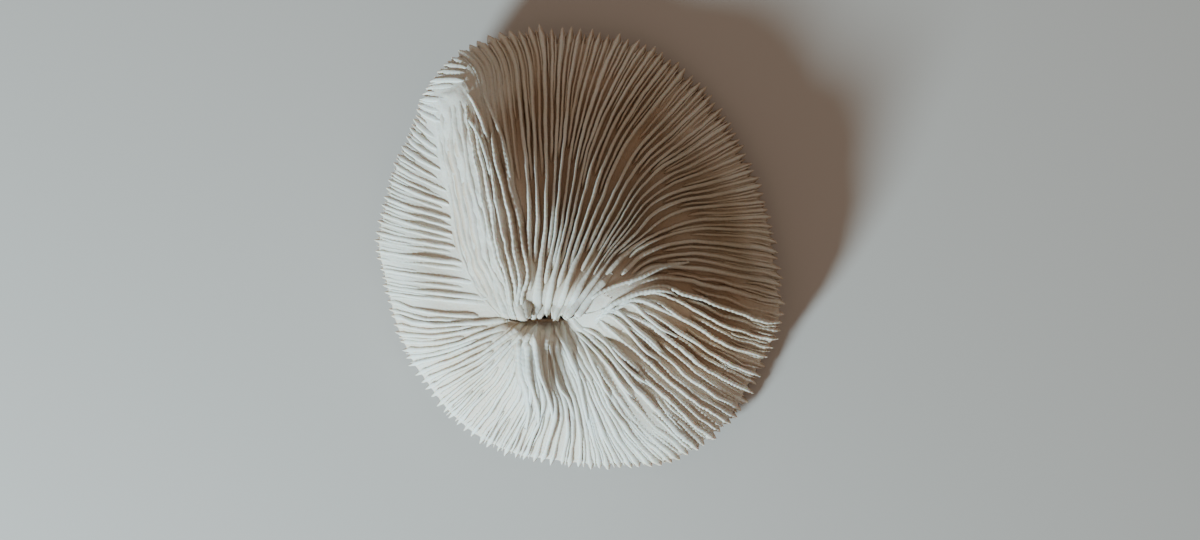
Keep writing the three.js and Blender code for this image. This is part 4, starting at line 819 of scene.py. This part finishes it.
# ---------------------------------------------------------------- plate
NC = 720
qq = np.arange(NC) * NQ / NC
EDGE = 1.0 - tooth_len(qq) / 52.0 - 0.006 * (1 - np.cos(4 * math.pi * qq)) / 2
rngp = np.random.default_rng(SEED + 99)
ringz, ringx, ringy, ringd = [], [], [], []
x0, y0 = plan(qq, 0.0)
cx, cy = x0.mean(), y0.mean()
ldir, lext = lip_steps(qq)
upper = lext > 0.3
z0 = crest(x0, y0)
g0 = gap_depth(x0, y0, 0.0)
lx, ly = x0 + ldir[:, 0] * lext, y0 + ldir[:, 1] * lext
ax, ay = lx.mean(), ly[upper].mean() - 0.9
inner_z = np.where(upper, mouth_floor(lx, ly), z0 - g0)
# the mouth floor and lip walls are coloured darker the deeper they lie: painted shade, darkest in the slit and lighter
# where it runs out on the right
for u in np.linspace(0.1, 0.97, 10):      # floor of the mouth
    x = ax + (lx - ax) * u
    y = ay + (ly - ay) * u
    z = np.minimum(mouth_floor(x, y), MOUTH_Z + (inner_z - MOUTH_Z) * u ** 1.5)
    z = np.where(x > -1.0, mouth_floor(x, y), z)
    ringx.append(x), ringy.append(y), ringz.append(z), ringd.append(0.15 + 0.45 * sm(2.0, -1.0, x))
for f_ in (0.15, 0.4, 0.65, 0.85, 0.95):      # up the wall of the lip
    out_ = 0.35 * math.sin(math.pi * f_)
    x = lx + ldir[:, 0] * out_ * upper
    y = ly + ldir[:, 1] * out_ * upper
    zl = lip_crest(lx, ly, z0, lext) - g0 * 0.6 - 0.5
    z = np.where(upper, inner_z + (zl - inner_z) * f_, inner_z + (z0 - g0 - inner_z) * f_)
    ringx.append(x), ringy.append(y), ringz.append(z), ringd.append(np.full(NC, 0.5 - 0.3 * f_))
for v_ in np.linspace(1, 0.08, 9):      # over the lip to the start of the courses
    x = x0 + ldir[:, 0] * lext * v_ * 0.98
    y = y0 + ldir[:, 1] * lext * v_ * 0.98
    zl = lip_crest(x, y, z0, lext * v_) - g0 * (1 - 0.4 * v_) - 0.35 * sm(0.8, 1.0, v_)
    z = np.where(upper, zl, z0 - g0 + (inner_z - z0 + g0) * v_ * 0.04)
    ringx.append(x), ringy.append(y), ringz.append(z), ringd.append(np.clip(g0 / 4.2, 0, 1))
for u in np.linspace(0, 1, 60):
    t = EDGE * u
    x, y = plan(qq, t)
    g = gap_depth(x, y, t)
    z = np.maximum(crest(x, y) - g, 1.6) + 0.06 * rngp.uniform(-1, 1, NC)
    on = inside(FLANK, x, y)
    z = z + on * (0.30 + 0.26 * np.sin(x * 1.1 + 1.3 * np.sin(y * 0.5)) * np.sin(y * 0.8 + 1.1 * np.sin(x * 0.7))
                  + 0.14 * np.sin(x * 2.9 + 1.3 * np.sin(y * 1.8)) * np.sin(y * 2.4 + 1.1 * np.sin(x * 2.1)))
    ringx.append(x), ringy.append(y), ringz.append(z), ringd.append(np.clip(g / 4.2, 0, 1))
# rim edge and underside, with a low rib under every fin
xe, ye = plan(qq, EDGE)
zce = crest(xe, ye)
zu = underside_z(xe, ye, zce)
ztop = ringz[-1]


def ring_smooth(a, k=9):
    b = np.zeros_like(a)
    for d in range(-k, k + 1):
        b += np.roll(a, d)
    return b / (2 * k + 1)


xe_s, ye_s, zu_s = ring_smooth(xe), ring_smooth(ye), ring_smooth(zu)
for f, s in ((0.3, 1.006), (0.7, 1.006)):
    ringx.append(xe * s), ringy.append(ye * s), ringz.append(ztop + (zu - ztop) * f), ringd.append(np.full(NC, 0.6))
rib = 0.5 + 0.5 * np.cos(2 * math.pi * qq * 2.0)      # 144 major ribs
rib4 = 0.5 + 0.5 * np.cos(2 * math.pi * qq * 4.0)
# the grooves between the underside ribs are coloured darker: painted shade
for s in np.concatenate([np.linspace(0.985, 0.50, 38), np.linspace(0.47, 0.05, 9)]):
    b = sm(0.985, 0.8, s)
    x = (xe * (1 - b) + xe_s * b) * s
    y = (ye * (1 - b) + ye_s * b) * s
    zz = (zu * (1 - b) + zu_s * b) * np.clip((s - 0.5) / 0.5, 0, 1) ** 1.7
    strength = sm(0.52, 0.7, s) * (0.30 + 0.12 * sm(0.8, 1.0, s))
    ribs = rib * 0.7 + rib4 * 0.3
    z = zz - strength * ribs + strength * 0.5 + 0.13 * rngp.uniform(-1, 1, NC) * sm(0.5, 0.58, s)
    z = np.maximum(z, 0.0) if s > 0.5 else np.zeros(NC)
    ringx.append(x), ringy.append(y), ringz.append(z), ringd.append(0.25 + 0.35 * (1 - ribs) * strength / 0.42)
P = np.stack([np.array(ringx), np.array(ringy), np.array(ringz)], -1)
nr = len(P)
verts = P.reshape(-1, 3)
tris = grid_tris(nr, NC, True)
top_c = len(verts)
verts = np.concatenate([verts, [[ax, ay, float(mouth_floor(ax, ay))], [0, 0, 0]]])
k = np.arange(NC)
k2 = (k + 1) % NC
tris = np.concatenate([tris, np.stack([np.full(NC, top_c), k, k2], -1),
                       np.stack([np.full(NC, top_c + 1), (nr - 1) * NC + k2, (nr - 1) * NC + k], -1)])
# the centre of the mouth floor is coloured dark: painted shade in the pit
depth = np.concatenate([np.array(ringd).ravel(), [0.8, 0.3]])
objs.append(make_mesh("base_plate", verts, tris, {"depth": depth}))
print("base_plate", len(tris))

# ---------------------------------------------------------------- material
mat = bpy.data.materials.new("coral_aragonite")
mat.use_nodes = True
nt = mat.node_tree
nt.nodes.clear()
N = nt.nodes.new
L = nt.links.new
out = N("ShaderNodeOutputMaterial")
bs = N("ShaderNodeBsdfPrincipled")
L(bs.outputs[0], out.inputs[0])
tc = N("ShaderNodeTexCoord")
# colour by depth below the crest: off-white crests going tan to brown down in the gaps, partly the real tan of the
# hollows and partly painted shade in the gaps
at = N("ShaderNodeAttribute")
at.attribute_name = "depth"
ramp = N("ShaderNodeValToRGB")
cr = ramp.color_ramp
cr.elements[0].position, cr.elements[0].color = 0.0, (0.80, 0.80, 0.775, 1)
cr.elements[1].position, cr.elements[1].color = 1.0, (0.455, 0.325, 0.222, 1)
e = cr.elements.new(0.32)
e.color = (0.73, 0.645, 0.57, 1)
e = cr.elements.new(0.65)
e.color = (0.655, 0.51, 0.40, 1)
L(at.outputs["Fac"], ramp.inputs[0])
big = N("ShaderNodeTexNoise")
big.inputs["Scale"].default_value = 45.0
big.inputs["Detail"].default_value = 4.0
L(tc.outputs["Object"], big.inputs["Vector"])
fine = N("ShaderNodeTexNoise")
fine.inputs["Scale"].default_value = 1400.0
fine.inputs["Detail"].default_value = 3.0
L(tc.outputs["Object"], fine.inputs["Vector"])


def mix(kind, fac, a, b):
    m = N("ShaderNodeMix")
    m.data_type = "RGBA"
    m.blend_type = kind
    if isinstance(fac, float):
        m.inputs["Factor"].default_value = fac
    else:
        L(fac, m.inputs["Factor"])
    for sock, val in ((m.inputs[6], a), (m.inputs[7], b)):
        if isinstance(val, tuple):
            sock.default_value = val
        else:
            L(val, sock)
    return m.outputs[2]


def remap(val, a, b, c, d):
    m = N("ShaderNodeMapRange")
    L(val, m.inputs["Value"])
    for i, v in zip(("From Min", "From Max", "To Min", "To Max"), (a, b, c, d)):
        m.inputs[i].default_value = v
    return m.outputs[0]


# browner colour: partly real browning, partly painted shade on the shaded right-hand side and under the mouth
ast = N("ShaderNodeAttribute")
ast.attribute_name = "shade_and_stain"
browned_and_shaded = mix("MULTIPLY", remap(ast.outputs["Fac"], 0.0, 1.0, 0.0, 1.0), ramp.outputs[0], (0.62, 0.555, 0.465, 1))
shade_and_stain = mix("MULTIPLY", remap(big.outputs["Fac"], 0.42, 0.72, 0.0, 0.5), browned_and_shaded, (0.93, 0.86, 0.76, 1))
speck = mix("MULTIPLY", remap(fine.outputs["Fac"], 0.5, 0.75, 0.0, 0.45), shade_and_stain, (0.82, 0.76, 0.68, 1))
L(speck, bs.inputs["Base Color"])
L(remap(fine.outputs["Fac"], 0.3, 0.7, 0.52, 0.85), bs.inputs["Roughness"])
bs.inputs["Specular IOR Level"].default_value = 0.38
bs.inputs["Subsurface Weight"].default_value = 0.22
bs.inputs["Subsurface Radius"].default_value = (1.0, 0.5, 0.28)
bs.inputs["Subsurface Scale"].default_value = 0.0016
grain = N("ShaderNodeTexVoronoi")
grain.inputs["Scale"].default_value = 2600.0
L(tc.outputs["Object"], grain.inputs["Vector"])
b1 = N("ShaderNodeBump")
b1.inputs["Strength"].default_value = 0.55
b1.inputs["Distance"].default_value = 0.00012
L(fine.outputs["Fac"], b1.inputs["Height"])
b2 = N("ShaderNodeBump")
b2.inputs["Strength"].default_value = 0.35
b2.inputs["Distance"].default_value = 0.00008
b2.invert = True
L(grain.outputs["Distance"], b2.inputs["Height"])
L(b1.outputs[0], b2.inputs["Normal"])
L(b2.outputs[0], bs.inputs["Normal"])

for o in objs:
    o.data.materials.append(mat)
    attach(o, "root")
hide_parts("coral_skeleton")

# ---------------------------------------------------------------- stage
fm = bpy.data.materials.new("floor_paper")
fm.use_nodes = True
fb = fm.node_tree.nodes["Principled BSDF"]
fb.inputs["Base Color"].default_value = (0.56, 0.517, 0.502, 1)
fb.inputs["Roughness"].default_value = 0.9
fme = bpy.data.meshes.new("floor")
fme.from_pydata([(-3, -3, 0), (3, -3, 0), (3, 3, 0), (-3, 3, 0)], [], [(0, 1, 2, 3)])
floor = bpy.data.objects.new("floor", fme)
bpy.context.scene.collection.objects.link(floor)
fme.materials.append(fm)


def area(name, az, el, dist, size_m, watts, colour):
    li = bpy.data.lights.new(name, "AREA")
    li.shape = "DISK"
    li.size = size_m
    li.energy = watts
    li.color = colour
    o = bpy.data.objects.new(name, li)
    a, e_ = math.radians(az), math.radians(el)
    o.location = (dist * math.cos(e_) * math.cos(a), dist * math.cos(e_) * math.sin(a), dist * math.sin(e_) + 0.015)
    o.rotation_euler = (math.pi / 2 - e_, 0, a + math.pi / 2)
    bpy.context.scene.collection.objects.link(o)
    return o


area("key", 226, 23, 0.9, 0.18, 18.6, (0.68, 0.925, 1.0))

world = bpy.data.worlds.new("studio")
bpy.context.scene.world = world
world.use_nodes = True
wb = world.node_tree.nodes["Background"]
wb.inputs[0].default_value = (1.0, 0.80, 0.62, 1)
wb.inputs[1].default_value = 0.30

cam_d = bpy.data.cameras.new("camera")
cam_d.sensor_width = 36.0
cam_d.lens = 36.0 * 1196.0 / 1200.0
cam = bpy.data.objects.new("camera", cam_d)
cam.location = (0.005796, -0.005845, 0.330)
cam.rotation_euler = (0, 0, 0)
bpy.context.scene.collection.objects.link(cam)
bpy.context.scene.camera = cam
